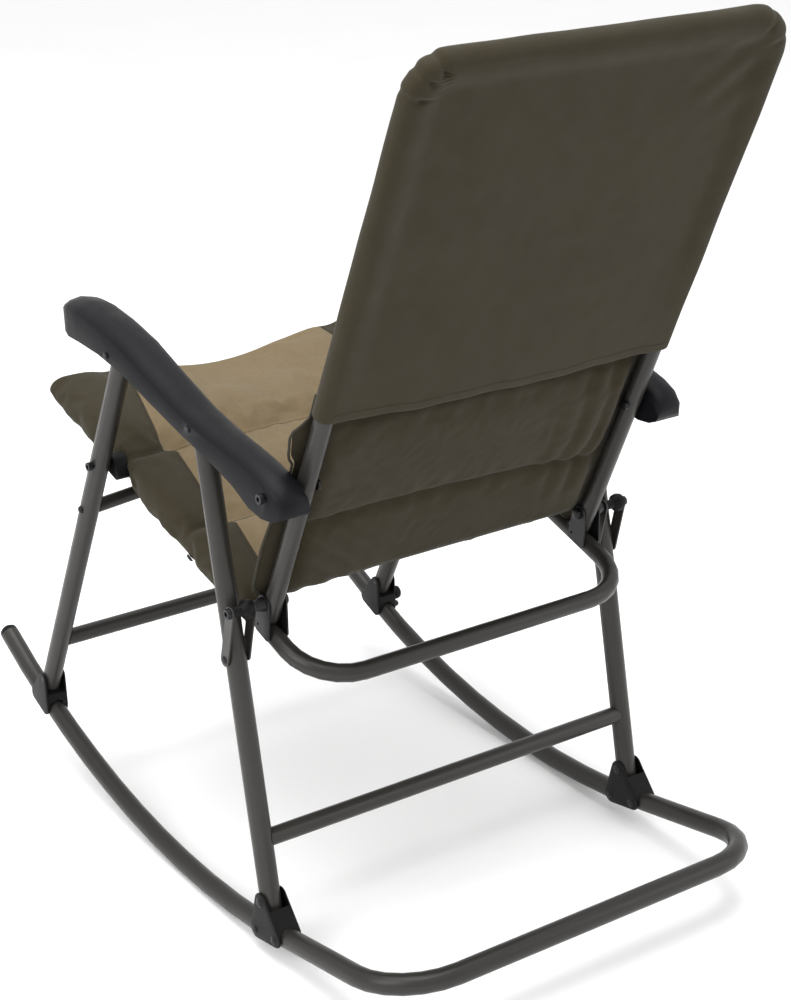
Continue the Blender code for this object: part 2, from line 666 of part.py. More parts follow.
def build_seat_pivots():
    nose = above_seat_tube(SEAT_PIVOT[0] - 0.0150, 0.0040)
    tail = above_seat_tube(SEAT_PIVOT[0] + 0.0105, 0.0040)

    def pivot(tag, side):
        outline = hull_outline([(*SEAT_PIVOT, 0.0090), (*nose, 0.0070), (*tail, 0.0070)])
        body = slab_x(f"seat_pivot_{tag}", outline, side * PIVOT_IN, side * PIVOT_OUT, BRACKET)
        bevel(body, 0.0012, 2)
        drill_x(body, SEAT_PIVOT, BOLT_R, side * 0.23, side * 0.27)
        low, high = PIVOT_IN + 0.0010, LEG_X + LEG_R + GAP
        bolt = [(low, 0.0), (low, BOLT_R), (high, BOLT_R), (high, 0.0056), (high + 0.0060, 0.0056),
                (high + 0.0060, 0.0028), (high + 0.0035, 0.0028), (high + 0.0035, 0.0)]
        lathe_x(f"seat_pivot_bolt_{tag}", SEAT_PIVOT, [(side * x, r) for x, r in bolt], HARDWARE, SMALL_SIDES)

    both_sides(pivot)


# ---------------------------------------------------------------- frames
def build_frames():
    front = tube("seat_tube_front", seat_path(True), FRAME_R, FRAME_WALL, STEEL)
    tube("seat_tube_rear", seat_path(False), FRAME_R, FRAME_WALL, STEEL)
    back = tube("back_tube", back_path(), FRAME_R, FRAME_WALL, STEEL)
    for side in (1, -1):
        span = (side * 0.215, side * 0.250)
        drill_x(back, HINGE, HINGE_BOLT_R, *span)
        drill_x(back, ARM_BOLT, BOLT_R, *span)


# ---------------------------------------------------------------- armrests
ARM_X_IN = 0.2470
ARM_WALL = 0.0024
ARM_CREST = 0.0035           # crown across the top
# Stations along the arm from its front tip: y, top edge, lower edge, outer face.
ARM_STATIONS = (
    (-0.2460, 0.6915, 0.6785, 0.2830), (-0.2430, 0.6975, 0.6720, 0.2900), (-0.2345, 0.7025, 0.6660, 0.2960),
    (-0.2190, 0.7055, 0.6640, 0.3000), (-0.1900, 0.7060, 0.6650, 0.3015), (-0.1400, 0.7000, 0.6625, 0.3010),
    (-0.0850, 0.6885, 0.6530, 0.2995), (-0.0200, 0.6660, 0.6345, 0.2975), (0.0450, 0.6455, 0.6170, 0.2955),
    (0.1050, 0.6335, 0.6030, 0.2935), (0.1500, 0.6270, 0.5890, 0.2920), (0.1800, 0.6220, 0.5740, 0.2910),
    (0.2050, 0.6160, 0.5690, 0.2900), (0.2250, 0.6080, 0.5710, 0.2885), (0.2370, 0.5990, 0.5760, 0.2850),
    (0.2410, 0.5920, 0.5820, 0.2800))
ARM_OPEN_FROM = 3            # the underside is open between these stations
ARM_OPEN_TO = 11


def arm_section(y, top, low, outer, inset):
    """Closed cross-section of (x, y, z): flat crown, crease at the outer edge, thin side faces."""
    left, right = ARM_X_IN + inset, outer - inset
    crown = top - inset
    width = right - left
    shape = ((0.0, low), (0.0, crown - 0.0100), (0.05, crown - 0.0035), (0.18, crown),
             (0.50, crown + ARM_CREST), (0.80, crown + 0.0010), (0.95, crown - 0.0030), (1.0, crown - 0.0065),
             (0.98, low))
    return [(left + share * width, y, max(z, low)) for share, z in shape]


def loft(name, sections, look):
    """Solid through closed cross-sections that all have the same number of points."""
    count = len(sections[0])
    verts = [p for section in sections for p in section]
    faces = [tuple(range(count)), tuple(range(len(verts) - count, len(verts)))]
    for i in range(len(sections) - 1):
        for k in range(count):
            n = (k + 1) % count
            faces.append((i * count + k, i * count + n, (i + 1) * count + n, (i + 1) * count + k))
    return finish(name, mesh_from(name, verts, faces), look)


def arm_outer(y):
    """Outer face of the arm at a given y."""
    for before, after in zip(ARM_STATIONS, ARM_STATIONS[1:]):
        if before[0] <= y <= after[0]:
            share = (y - before[0]) / (after[0] - before[0])
            return before[3] + share * (after[3] - before[3])
    return ARM_STATIONS[-1][3]


def build_arms():
    def arm(tag, side):
        shell = [arm_section(*station, 0.0) for station in ARM_STATIONS]
        body = loft(f"armrest_{tag}", shell, MOULDED)
        inside = [arm_section(y, top, low - 0.030, outer, ARM_WALL)
                  for y, top, low, outer in ARM_STATIONS[ARM_OPEN_FROM:ARM_OPEN_TO]]
        core = loft("arm_core", inside, MOULDED)
        if side < 0:
            body.data.transform(Matrix.Diagonal((-1, 1, 1, 1)))
            core.data.transform(Matrix.Diagonal((-1, 1, 1, 1)))
            body.data.flip_normals()
            core.data.flip_normals()
        cut(body, core)
        for centre, radius in ((ARM_BOLT, BOLT_R), (ARM_REAR_PIN, ARM_PIN_R), (ARM_FRONT_PIN, ARM_PIN_R)):
            drill_x(body, centre, radius, side * 0.23, side * 0.32)

        for place, centre in (("rear", ARM_REAR_PIN), ("front", ARM_FRONT_PIN)):
            outer = arm_outer(centre[0])
            pin = [(ARM_X_IN - 0.0014, 0.0), (ARM_X_IN - 0.0014, 0.0044), (ARM_X_IN - GAP, 0.0050),
                   (ARM_X_IN - GAP, ARM_PIN_R), (outer + 0.0006, ARM_PIN_R), (outer + 0.0006, 0.0048),
                   (outer + 0.0020, 0.0030), (outer + 0.0020, 0.0)]
            lathe_x(f"arm_pin_{place}_{tag}", centre, [(side * x, r) for x, r in pin], HARDWARE, 12)
        inner, outer = FRAME_X - FRAME_R - GAP, arm_outer(ARM_BOLT[0]) + 0.0010
        bolt = [(inner - 0.0048, 0.0), (inner - 0.0048, 0.0036), (inner - 0.0036, 0.0062), (inner, 0.0062),
                (inner, BOLT_R), (outer, BOLT_R), (outer, 0.0060), (outer + 0.0050, 0.0060),
                (outer + 0.0050, 0.0028), (outer + 0.0026, 0.0028), (outer + 0.0026, 0.0)]
        lathe_x(f"arm_bolt_{tag}", ARM_BOLT, [(side * x, r) for x, r in bolt], HARDWARE, SMALL_SIDES)

    both_sides(arm)


# ---------------------------------------------------------------- padding and cover
PAD_EDGE = 0.2335            # half width of the thin hem
PAD_BODY = 0.2120            # half width of the full thickness
PAD_UNDER = 0.0138           # under face above the tube axis
PAD_HEM = 0.0176
PAD_TOP = 0.0310
PAD_NEAR = 0.045             # distance of the hinge end from the point where the two planes meet
PAD_FULL = 0.085             # full thickness from here on


def plane_corner():
    """Where the seat tube plane and the back tube plane meet, as (y, z)."""
    start = back_y(SEAT_Z0)
    y = start / (1.0 - BACK_SLOPE * SEAT_SLOPE)
    return (y, seat_z(y))


def pad(name, heading, normal, reach, look):
    """Cushion over a tube frame: thin along its edges and where it nears the hinge line."""
    tip = reach - 0.020
    corner_y, corner_z = plane_corner()
    stations = ((PAD_NEAR, PAD_HEM - 0.0008), (PAD_FULL, PAD_TOP), (tip, PAD_TOP), (reach, PAD_TOP - 0.0110))
    sections = []
    for distance, top in stations:
        half = PAD_EDGE - (0.004 if distance in (PAD_NEAR, reach) else 0.0)
        body = PAD_BODY if top == PAD_TOP else PAD_BODY - 0.006
        hem = min(PAD_HEM, top - 0.0004)
        ring = []
        for x, off in ((-half, PAD_UNDER), (-half, hem), (-body, top), (body, top), (half, hem), (half, PAD_UNDER)):
            y = corner_y + heading.y * distance + normal.y * off
            z = corner_z + heading.z * distance + normal.z * off
            ring.append((x, y, z))
        sections.append(ring)
    body = loft(name, sections, look)
    bevel(body, 0.0025, 2, math.radians(15))
    return body


def build_pads():
    forward = Vector((0, -1, -SEAT_SLOPE)).normalized()
    seat_normal = Vector((0, -SEAT_SLOPE, 1)).normalized()
    pad("seat_pad", forward, seat_normal, SEAT_PAD_REACH, CLOTH_TAN)
    up = Vector((0, BACK_SLOPE, 1)).normalized()
    back_normal = Vector((0, -1, BACK_SLOPE)).normalized()
    pad("back_pad", up, back_normal, BACK_PAD_REACH, CLOTH_OLIVE)


def build_back_cover():
    """Pocket pulled down over the top of the back tube, open at its hem."""
    up = Vector((0, BACK_SLOPE, 1)).normalized()
    normal = Vector((0, -1, BACK_SLOPE)).normalized()

    def block(name, half, depth, top, low):
        ring = []
        steps = 7
        radius = half - (FRAME_X - BACK_BEND)
        for sign in (1, -1):
            for k in range(steps + 1):
                angle = 0.5 * math.pi * (k if sign > 0 else steps - k) / steps
                x = sign * (half - radius + radius * math.cos(angle))
                ring.append((x, top - radius + radius * math.sin(angle)))
        ring = [(half, low)] + ring + [(-half, low)]
        verts = []
        for off in (-depth, depth):
            for x, along_up in ring:
                point = Vector((x, *BACK_AXIS)) + up * along_up + normal * off
                verts.append(point)
        count = len(ring)
        faces = [tuple(range(count)), tuple(range(count, 2 * count))]
        for k in range(count):
            n = (k + 1) % count
            faces.append((k, n, count + n, count + k))
        return finish(name, mesh_from(name, verts, faces), CLOTH_OLIVE)

    tube_top = (BACK_TOP_Z - BACK_AXIS[1]) * math.hypot(1.0, BACK_SLOPE)
    low = (COVER_BOTTOM_Z - BACK_AXIS[1]) * math.hypot(1.0, BACK_SLOPE)
    room = FRAME_R + COVER_EASE
    skin = room + COVER_SKIN
    outer = block("back_cover", FRAME_X + skin, skin, tube_top + skin, low)
    bevel(outer, 0.0080, 3, math.radians(60))
    inner = block("cover_core", FRAME_X + room, room, tube_top + room, low - 0.05)
    bevel(inner, 0.0066, 3, math.radians(60))
    cut(outer, inner)


# ---------------------------------------------------------------- moving groups
JOINTS = {
    "joint_tip_back": (REAR_FOOT, ("rear_leg", "rear_cross_bar")),
    "joint_arm_swing": (ARM_REAR_PIN, ("armrest", "arm_pin", "arm_bolt")),
    "joint_fold": (ARM_FRONT_PIN, ("front_leg", "front_cross_bar", "front_stretcher", "front_bracket",
                                   "front_foot_pin", "latch_collar", "latch_screw")),
    "joint_back_fold": (ARM_BOLT, ("back_",)),
    "joint_seat_fold": (SEAT_PIVOT, ("seat_", "hinge_", "stop_roller")),
    "joint_link_swing": (HINGE, ("link_",)),
    "joint_latch_pull": (None, ("latch_knob",)),
}


def group_by_joint():
    """Parent every moving piece to an empty that stands on its joint axis."""
    latch = runner_point(RUNNER_FRONT, 0.0, 0.0)
    for name, (place, starts) in JOINTS.items():
        pivot = bpy.data.objects.new(name, None)
        bpy.context.scene.collection.objects.link(pivot)
        pivot.location = (-LEG_X, *latch) if place is None else (0.0, *place)
        for obj in list(bpy.data.objects):
            if obj.type == "MESH" and obj.name.startswith(starts):
                obj.data.transform(Matrix.Translation(-pivot.location))
                obj.parent = pivot


def build():
    clear_scene()
    build_rocker()
    build_rear_brackets()
    build_legs()
    build_latch()
    build_hinges()
    build_links()
    build_seat_pivots()
    build_frames()
    build_arms()
    build_pads()
    build_back_cover()
    group_by_joint()


build()
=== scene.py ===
"""Studio scene of the folding camp rocking chair: fabric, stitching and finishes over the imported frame.

Metres, +Z up. The sitter faces -Y and the sitter's left is +X.
"""
import math

import bpy
import numpy as np
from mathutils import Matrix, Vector, noise
from mathutils.bvhtree import BVHTree


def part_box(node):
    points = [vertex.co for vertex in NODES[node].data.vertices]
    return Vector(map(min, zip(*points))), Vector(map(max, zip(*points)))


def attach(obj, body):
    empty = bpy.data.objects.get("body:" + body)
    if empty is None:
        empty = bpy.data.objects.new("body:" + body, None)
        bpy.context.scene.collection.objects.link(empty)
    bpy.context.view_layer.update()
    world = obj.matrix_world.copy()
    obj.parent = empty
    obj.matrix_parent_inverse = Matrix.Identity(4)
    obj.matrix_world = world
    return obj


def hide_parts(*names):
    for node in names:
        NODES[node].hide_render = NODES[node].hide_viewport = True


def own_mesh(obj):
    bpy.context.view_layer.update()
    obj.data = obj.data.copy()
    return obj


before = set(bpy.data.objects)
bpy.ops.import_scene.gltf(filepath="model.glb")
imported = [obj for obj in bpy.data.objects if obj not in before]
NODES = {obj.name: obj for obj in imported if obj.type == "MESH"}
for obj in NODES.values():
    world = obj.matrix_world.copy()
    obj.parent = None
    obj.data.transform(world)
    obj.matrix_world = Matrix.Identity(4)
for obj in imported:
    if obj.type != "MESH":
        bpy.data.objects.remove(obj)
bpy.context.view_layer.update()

# ---------------------------------------------------------------- driving dimensions
TUBE_X = 0.2325              # centre plane of the seat and back tubes
SEAT_SLOPE = -0.2985         # height gained per metre of y
SEAT_Z0 = 0.42491            # seat tube axis height at y = 0
BACK_SLOPE = 0.43            # y gained per metre of height
BACK_AXIS = (0.1352, 0.4272)  # (y, z) of a point low on the back tube's axis
BACK_TOP_Z = 1.088           # back tube axis height at its top
TAN_HALF = 0.190             # half width of the tan panels
CLOTH = 0.0012
MESH_STEP = 0.0065           # spacing of the cloth mesh

CAMERA_PLACE = (1.4059, 2.0615, 1.4910)
CAMERA_PITCH = 67.402
CAMERA_HEADING = 145.110
CAMERA_LENS = 98.77          # millimetres, on a 36 mm sensor
LIGHT_TARGET = (0.0, 0.0, 0.5)
SOFTBOXES = (                # name, place, size, power
    ("top_softbox", (0.3, 0.1, 3.2), (2.6, 2.6), 80),
    ("key_softbox", (2.9, 0.4, 2.2), (1.6, 2.0), 46),
    ("fill_softbox", (-2.4, 2.4, 1.6), (2.0, 2.2), 16),
)
STUDIO_GLOW = 0.95
FLOOR_REACH = 45.0

OLIVE = (0.0275, 0.0215, 0.0095)
TAN = (0.152, 0.113, 0.062)
BRONZE = (0.0205, 0.0192, 0.0172)


# ---------------------------------------------------------------- working planes
class Plane:
    """A tilted plane across the chair: x is the chair's own X, along runs up it, out stands off it."""

    def __init__(self, origin, along, out):
        self.origin = Vector(origin)
        self.along = Vector(along).normalized()
        self.out = Vector(out).normalized()

    def at(self, x, along, out):
        """The point in the chair's frame."""
        return self.origin + Vector((x, 0, 0)) + self.along * along + self.out * out


def plane_corner():
    """Where the seat tube plane and the back tube plane meet, as (y, z)."""
    start = BACK_AXIS[0] + BACK_SLOPE * (SEAT_Z0 - BACK_AXIS[1])
    y = start / (1.0 - BACK_SLOPE * SEAT_SLOPE)
    return y, SEAT_Z0 + SEAT_SLOPE * y


CORNER = (0.0, *plane_corner())
SEAT = Plane(CORNER, (0, -1, -SEAT_SLOPE), (0, -SEAT_SLOPE, 1))
BACK = Plane(CORNER, (0, BACK_SLOPE, 1), (0, -1, BACK_SLOPE))


# ---------------------------------------------------------------- camera, lights and floor
def build_camera():
    data = bpy.data.cameras.new("camera")
    data.sensor_fit = "HORIZONTAL"
    data.sensor_width = 36.0
    data.lens = CAMERA_LENS
    camera = bpy.data.objects.new("camera", data)
    bpy.context.scene.collection.objects.link(camera)
    camera.location = CAMERA_PLACE
    camera.rotation_euler = (math.radians(CAMERA_PITCH), 0.0, math.radians(CAMERA_HEADING))
    bpy.context.scene.camera = camera


def area_light(name, place, size, power):
    """White softbox that faces the middle of the chair."""
    data = bpy.data.lights.new(name, "AREA")
    data.shape = "RECTANGLE"
    data.size, data.size_y = size
    data.energy = power
    light = bpy.data.objects.new(name, data)
    bpy.context.scene.collection.objects.link(light)
    light.location = place
    light.rotation_euler = (Vector(LIGHT_TARGET) - Vector(place)).to_track_quat("-Z", "Y").to_euler()


def build_lights():
    for softbox in SOFTBOXES:
        area_light(*softbox)
    world = bpy.data.worlds.new("studio")
    world.use_nodes = True
    background = world.node_tree.nodes["Background"]
    background.inputs["Color"].default_value = (1.0, 1.0, 1.0, 1.0)
    background.inputs["Strength"].default_value = STUDIO_GLOW
    bpy.context.scene.world = world
    bpy.context.scene.view_settings.view_transform = "Standard"


def build_floor():
    mesh = bpy.data.meshes.new("floor")
    corners = [(x * FLOOR_REACH, y * FLOOR_REACH, 0) for x, y in ((-1, -1), (1, -1), (1, 1), (-1, 1))]
    mesh.from_pydata(corners, [], [(0, 1, 2, 3)])
    floor = bpy.data.objects.new("floor", mesh)
    bpy.context.scene.collection.objects.link(floor)
    look = Look("floor_paper", (0.96, 0.96, 0.96), 0.9)
    look.mottle(3.0, 0.008)
    floor.data.materials.append(look.mat)


# ---------------------------------------------------------------- materials
WAVE_UNIT = 20.0             # a wave texture of scale 1 runs through this many radians per metre
THREAD_PITCH = 0.0011
THREAD_DEPTH = 0.00025


class Look:
    """A Principled material built up in layers: colour mottle, weave, grain, and paler edges that are painted
    highlight along with wear.
    """

    def __init__(self, name, colour, roughness, metallic=0.0):
        self.mat = bpy.data.materials.new(name)
        self.mat.use_nodes = True
        self.nodes = self.mat.node_tree.nodes
        self.links = self.mat.node_tree.links
        self.bsdf = self.nodes["Principled BSDF"]
        self.bsdf.inputs["Base Color"].default_value = (*colour, 1.0)
        self.bsdf.inputs["Roughness"].default_value = roughness
        self.bsdf.inputs["Metallic"].default_value = metallic
        self.colour_socket = self.add("ShaderNodeRGB").outputs[0]
        self.colour_socket.default_value = (*colour, 1.0)
        self.height_socket = None
        self.coords = self.add("ShaderNodeTexCoord").outputs["Object"]

    def add(self, kind, **settings):
        node = self.nodes.new(kind)
        for key, value in settings.items():
            setattr(node, key, value)
        return node

    def grain(self, scale, detail=3.0, roughness=0.55):
        node = self.add("ShaderNodeTexNoise")
        node.inputs["Scale"].default_value = scale
        node.inputs["Detail"].default_value = detail
        node.inputs["Roughness"].default_value = roughness
        self.links.new(self.coords, node.inputs["Vector"])
        return node.outputs["Fac"]

    def remap(self, socket, low, high, from_low=0.3, from_high=0.7):
        node = self.add("ShaderNodeMapRange")
        node.inputs["From Min"].default_value = from_low
        node.inputs["From Max"].default_value = from_high
        node.inputs["To Min"].default_value = low
        node.inputs["To Max"].default_value = high
        self.links.new(socket, node.inputs["Value"])
        return node.outputs["Result"]

    def tint(self, amount_socket):
        """Multiply the colour so far by a grey value."""
        mix = self.add("ShaderNodeVectorMath", operation="SCALE")
        self.links.new(self.colour_socket, mix.inputs[0])
        self.links.new(amount_socket, mix.inputs["Scale"])
        self.colour_socket = mix.outputs["Vector"]
        self.links.new(self.colour_socket, self.bsdf.inputs["Base Color"])

    def mottle(self, scale, amount):
        self.tint(self.remap(self.grain(scale), 1.0 - amount, 1.0 + amount))

    def edge_highlight_and_wear(self, amount):
        """Paler edges where the surface is convex: a painted edge highlight, along with edge wear."""
        point = self.add("ShaderNodeNewGeometry").outputs["Pointiness"]
        self.tint(self.remap(point, 1.0, 1.0 + amount, 0.51, 0.60))

    def vary_roughness(self, scale, low, high):
        self.links.new(self.remap(self.grain(scale), low, high), self.bsdf.inputs["Roughness"])

    def bump(self, socket, strength, distance):
        node = self.add("ShaderNodeBump")
        node.inputs["Strength"].default_value = strength
        node.inputs["Distance"].default_value = distance
        self.links.new(socket, node.inputs["Height"])
        if self.height_socket is not None:
            self.links.new(self.height_socket, node.inputs["Normal"])
        self.height_socket = node.outputs["Normal"]
        self.links.new(self.height_socket, self.bsdf.inputs["Normal"])

    def weave(self, tilt, pitch, depth, contrast):
        """Plain weave across X and up a plane tilted about X; pitch is from one thread to the next."""
        turn = self.add("ShaderNodeMapping")
        turn.inputs["Rotation"].default_value = (tilt, 0.0, 0.0)
        self.links.new(self.coords, turn.inputs["Vector"])
        bands = []
        for direction in ("X", "Y"):
            wave = self.add("ShaderNodeTexWave", wave_type="BANDS", bands_direction=direction)
            wave.inputs["Scale"].default_value = 2 * math.pi / (WAVE_UNIT * pitch)
            wave.inputs["Distortion"].default_value = 0.6
            wave.inputs["Detail"].default_value = 1.0
            self.links.new(turn.outputs["Vector"], wave.inputs["Vector"])
            bands.append(wave.outputs["Fac"])
        both = self.add("ShaderNodeMath", operation="MULTIPLY")
        self.links.new(bands[0], both.inputs[0])
        self.links.new(bands[1], both.inputs[1])
        self.tint(self.remap(both.outputs["Value"], 1.0 - contrast, 1.0 + contrast, 0.0, 0.8))
        self.bump(both.outputs["Value"], 0.5, depth)


def fabric(name, colour, tilt):
    look = Look(name, colour, 0.86)
    look.bsdf.inputs["Sheen Weight"].default_value = 0.05
    look.bsdf.inputs["Sheen Roughness"].default_value = 0.6
    look.bsdf.inputs["Specular IOR Level"].default_value = 0.20
    look.weave(tilt, THREAD_PITCH, THREAD_DEPTH, 0.10)
    look.mottle(9.0, 0.05)
    look.mottle(160.0, 0.06)
    look.vary_roughness(40.0, 0.80, 0.92)
    look.bump(look.grain(28.0, 4.0), 0.25, 0.0015)
    return look.mat


def painted(name, colour, metallic):
    """Hammered powder paint: fine orange peel and a few paler edges, painted as highlight along with wear."""
    roughness = 0.34
    look = Look(name, colour, roughness, metallic)
    look.bsdf.inputs["Specular IOR Level"].default_value = 0.34
    look.mottle(14.0, 0.05)
    look.mottle(700.0, 0.10)
    # paler convex edges: a painted edge highlight, with some wear
    look.edge_highlight_and_wear(0.55)
    look.vary_roughness(30.0, roughness - 0.06, roughness + 0.07)
    look.bump(look.grain(420.0, 2.0), 0.22, 0.0004)
    return look.mat


def moulded(name, colour, roughness, grain_scale):
    """Moulded plastic with a fine leather grain."""
    look = Look(name, colour, roughness)
    look.bsdf.inputs["Specular IOR Level"].default_value = 0.13
    look.mottle(11.0, 0.06)
    # paler convex edges: a painted edge highlight, with some wear
    look.edge_highlight_and_wear(0.45)
    look.vary_roughness(22.0, roughness - 0.06, roughness + 0.08)
    look.bump(look.grain(grain_scale, 3.0, 0.7), 0.35, 0.0004)
    return look.mat


def blackened(name, colour):
    """Black zinc on steel fasteners, its edges paler: a painted edge highlight along with rubbed wear."""
    roughness = 0.36
    look = Look(name, colour, roughness, 0.75)
    look.mottle(90.0, 0.18)
    # strongly paler convex edges: a painted edge highlight, with some rubbed wear
    look.edge_highlight_and_wear(1.3)
    look.vary_roughness(120.0, roughness - 0.08, roughness + 0.14)
    look.bump(look.grain(900.0, 2.0), 0.15, 0.0003)
    return look.mat


SEAT_TILT = math.atan(SEAT_SLOPE)
BACK_TILT = math.atan2(1.0, BACK_SLOPE)


def build_looks():
    return {
        "bronze": painted("bronze_paint", BRONZE, 0.15),
        "hinge": painted("hinge_paint", (0.0085, 0.0085, 0.0092), 0.3),
        "zinc": blackened("black_zinc", (0.009, 0.009, 0.010)),
        "arm": moulded("arm_plastic", (0.0040, 0.0041, 0.0052), 0.44, 1300.0),
        "bracket": moulded("bracket_plastic", (0.0035, 0.0035, 0.0038), 0.42, 1600.0),
        "seat_olive": fabric("seat_olive_cloth", OLIVE, -SEAT_TILT),
        "seat_tan": fabric("seat_tan_cloth", TAN, -SEAT_TILT),
        "back_olive": fabric("back_olive_cloth", OLIVE, -BACK_TILT),
        "back_tan": fabric("back_tan_cloth", TAN, -BACK_TILT),
        "thread": fabric("olive_thread", (0.030, 0.027, 0.018), 0.0),
    }


LOOKS_BY_NODE = (
    (("hinge_plate",), "hinge"),
    (("bracket_rivet", "front_foot_pin", "rear_foot_pin", "arm_pin", "arm_bolt", "hinge_bolt", "link_stud",
      "latch_screw", "seat_pivot_bolt"), "zinc"),
    (("armrest", "runner_cap", "latch_knob"), "arm"),
    (("front_bracket", "rear_bracket", "seat_pivot", "latch_collar", "stop_roller"), "bracket"),
    (("back_cover", "back_pad", "seat_pad"), "back_olive"),
)
CRISP_ANGLE = 38.0           # degrees between two faces that make a crisp edge
ARM_CRISP_ANGLE = 62.0       # the moulded arms are rounder
WELD_REACH = 0.00001


def dress_frame(looks):
    """Give each CAD node its look, with smooth shading between its crisp edges."""
    for name, node in NODES.items():
        look = "bronze"
        for starts, choice in LOOKS_BY_NODE:
            if name.startswith(starts):
                look = choice
                break
        for slot in node.material_slots:
            slot.material = looks[look]
        for poly in node.data.polygons:
            poly.use_smooth = True
        weld = node.modifiers.new("weld", "WELD")
        weld.merge_threshold = WELD_REACH
        split = node.modifiers.new("crisp_edges", "EDGE_SPLIT")
        split.split_angle = math.radians(ARM_CRISP_ANGLE if name.startswith("armrest") else CRISP_ANGLE)


# ---------------------------------------------------------------- mesh helpers
def piece(name, verts, faces, materials):
    """Smooth shaded object from points and faces."""
    mesh = bpy.data.meshes.new(name)
    mesh.from_pydata([tuple(v) for v in verts], [], faces)
    obj = bpy.data.objects.new(name, mesh)
    bpy.context.scene.collection.objects.link(obj)
    for mat in materials:
        mesh.materials.append(mat)
    for poly in mesh.polygons:
        poly.use_smooth = True
    return obj


def smoothstep(low, high, value):
    """0 at low and 1 at high, eased between them; low may be the larger."""
    share = min(max((value - low) / (high - low), 0.0), 1.0)
    return share * share * (3 - 2 * share)


def hump(offset, width):
    """1 at no offset, falling off as a bell of that width."""
    return math.exp(-(offset / width) ** 2)


def spaced(low, high, step):
    """Even values from low to high, about a step apart."""
    count = max(2, round((high - low) / step) + 1)
    return [low + (high - low) * k / (count - 1) for k in range(count)]


def eased(table, value):
    """Reading of ((key, value), ...) sorted by key, eased from each entry to the next."""
    if value <= table[0][0]:
        return table[0][1]
    for (a, low), (b, high) in zip(table, table[1:]):
        if value <= b:
            share = (value - a) / (b - a)
            share = share * share * (3 - 2 * share)
            return low + share * (high - low)
    return table[-1][1]


def rod(name, points, radius, mat, sides=8):
    """Closed round rod through points."""
    verts, faces = [], []
    side = None
    for i, point in enumerate(points):
        tangent = (points[min(i + 1, len(points) - 1)] - points[max(i - 1, 0)]).normalized()
        if side is None:
            side = tangent.orthogonal().normalized()
        side = (side - tangent * side.dot(tangent)).normalized()
        up = tangent.cross(side)
        for k in range(sides):
            angle = 2 * math.pi * k / sides
            verts.append(point + side * (radius * math.cos(angle)) + up * (radius * math.sin(angle)))
    for i in range(len(points) - 1):
        for k in range(sides):
            n = (k + 1) % sides
            faces.append((i * sides + k, i * sides + n, (i + 1) * sides + n, (i + 1) * sides + k))
    faces.append(tuple(range(sides))[::-1])
    faces.append(tuple(range(len(verts) - sides, len(verts))))
    return piece(name, verts, faces, [mat])


def walk(points, step):
    """Points evenly spaced along a polyline, with its direction at each."""
    out = []
    left = 0.0
    for a, b in zip(points, points[1:]):
        length = (b - a).length
        if length < 1e-9:
            continue
        direction = (b - a) / length
        while left <= length:
            out.append((a + direction * left, direction))
            left += step
        left -= length
    return out


STITCH_PITCH = 0.0042
STITCH_LENGTH = 0.0028
STITCH_RADIUS = 0.00035
STITCH_SIDES = 6
STITCH_RINGS = (             # (share of the length, share of the radius, lift in radii)
    (-0.5, 0.35, 0.1), (-0.3, 1.0, 0.9), (0.3, 1.0, 0.9), (0.5, 0.35, 0.1),
)


def stitches(name, points, normal, mat):
    """A row of thread stitches lying on a surface along a polyline."""
    verts, faces = [], []
    for place, direction in walk(points, STITCH_PITCH):
        base = len(verts)
        across = direction.cross(normal).normalized()
        for shift, size, lift in STITCH_RINGS:
            centre = place + direction * (STITCH_LENGTH * shift) + normal * (STITCH_RADIUS * lift)
            for k in range(STITCH_SIDES):
                angle = 2 * math.pi * k / STITCH_SIDES
                verts.append(centre + across * (STITCH_RADIUS * size * 1.25 * math.cos(angle))
                             + normal * (STITCH_RADIUS * size * math.sin(angle)))
        starts = [base + ring * STITCH_SIDES for ring in range(len(STITCH_RINGS))]
        rings = [[start + k for k in range(STITCH_SIDES)] for start in starts]
        for low, high in zip(rings, rings[1:]):
            for k in range(STITCH_SIDES):
                n = (k + 1) % STITCH_SIDES
                faces.append((low[k], low[n], high[n], high[k]))
        faces.append(tuple(rings[0][::-1]))
        faces.append(tuple(rings[-1]))
    return piece(name, verts, faces, [mat])


def lathe(name, centre, axis, profile, mat, sides=20):
    """Closed turned piece: profile is (radius, height) along the axis, starting and ending on it."""
    side = axis.orthogonal().normalized()
    up = axis.cross(side)
    verts, faces, rings = [], [], []
    for radius, height in profile:
        if radius == 0.0:
            rings.append([len(verts)])
            verts.append(centre + axis * height)
            continue
        ring = []
        for k in range(sides):
            angle = 2 * math.pi * k / sides
            ring.append(len(verts))
            verts.append(centre + axis * height + side * (radius * math.cos(angle))
                         + up * (radius * math.sin(angle)))
        rings.append(ring)
    for low, high in zip(rings, rings[1:]):
        for k in range(sides):
            n = (k + 1) % sides
            if len(low) == 1:
                faces.append((low[0], high[n], high[k]))
            elif len(high) == 1:
                faces.append((low[k], low[n], high[0]))
            else:
                faces.append((low[k], low[n], high[n], high[k]))
    return piece(name, verts, faces, [mat])


# ---------------------------------------------------------------- cloth simulation
SIM_FRAMES = 14
SWELL_CAP = 0.010            # farthest that the cloth may move
SINK_CAP = 0.0008            # farthest that it may move inwards


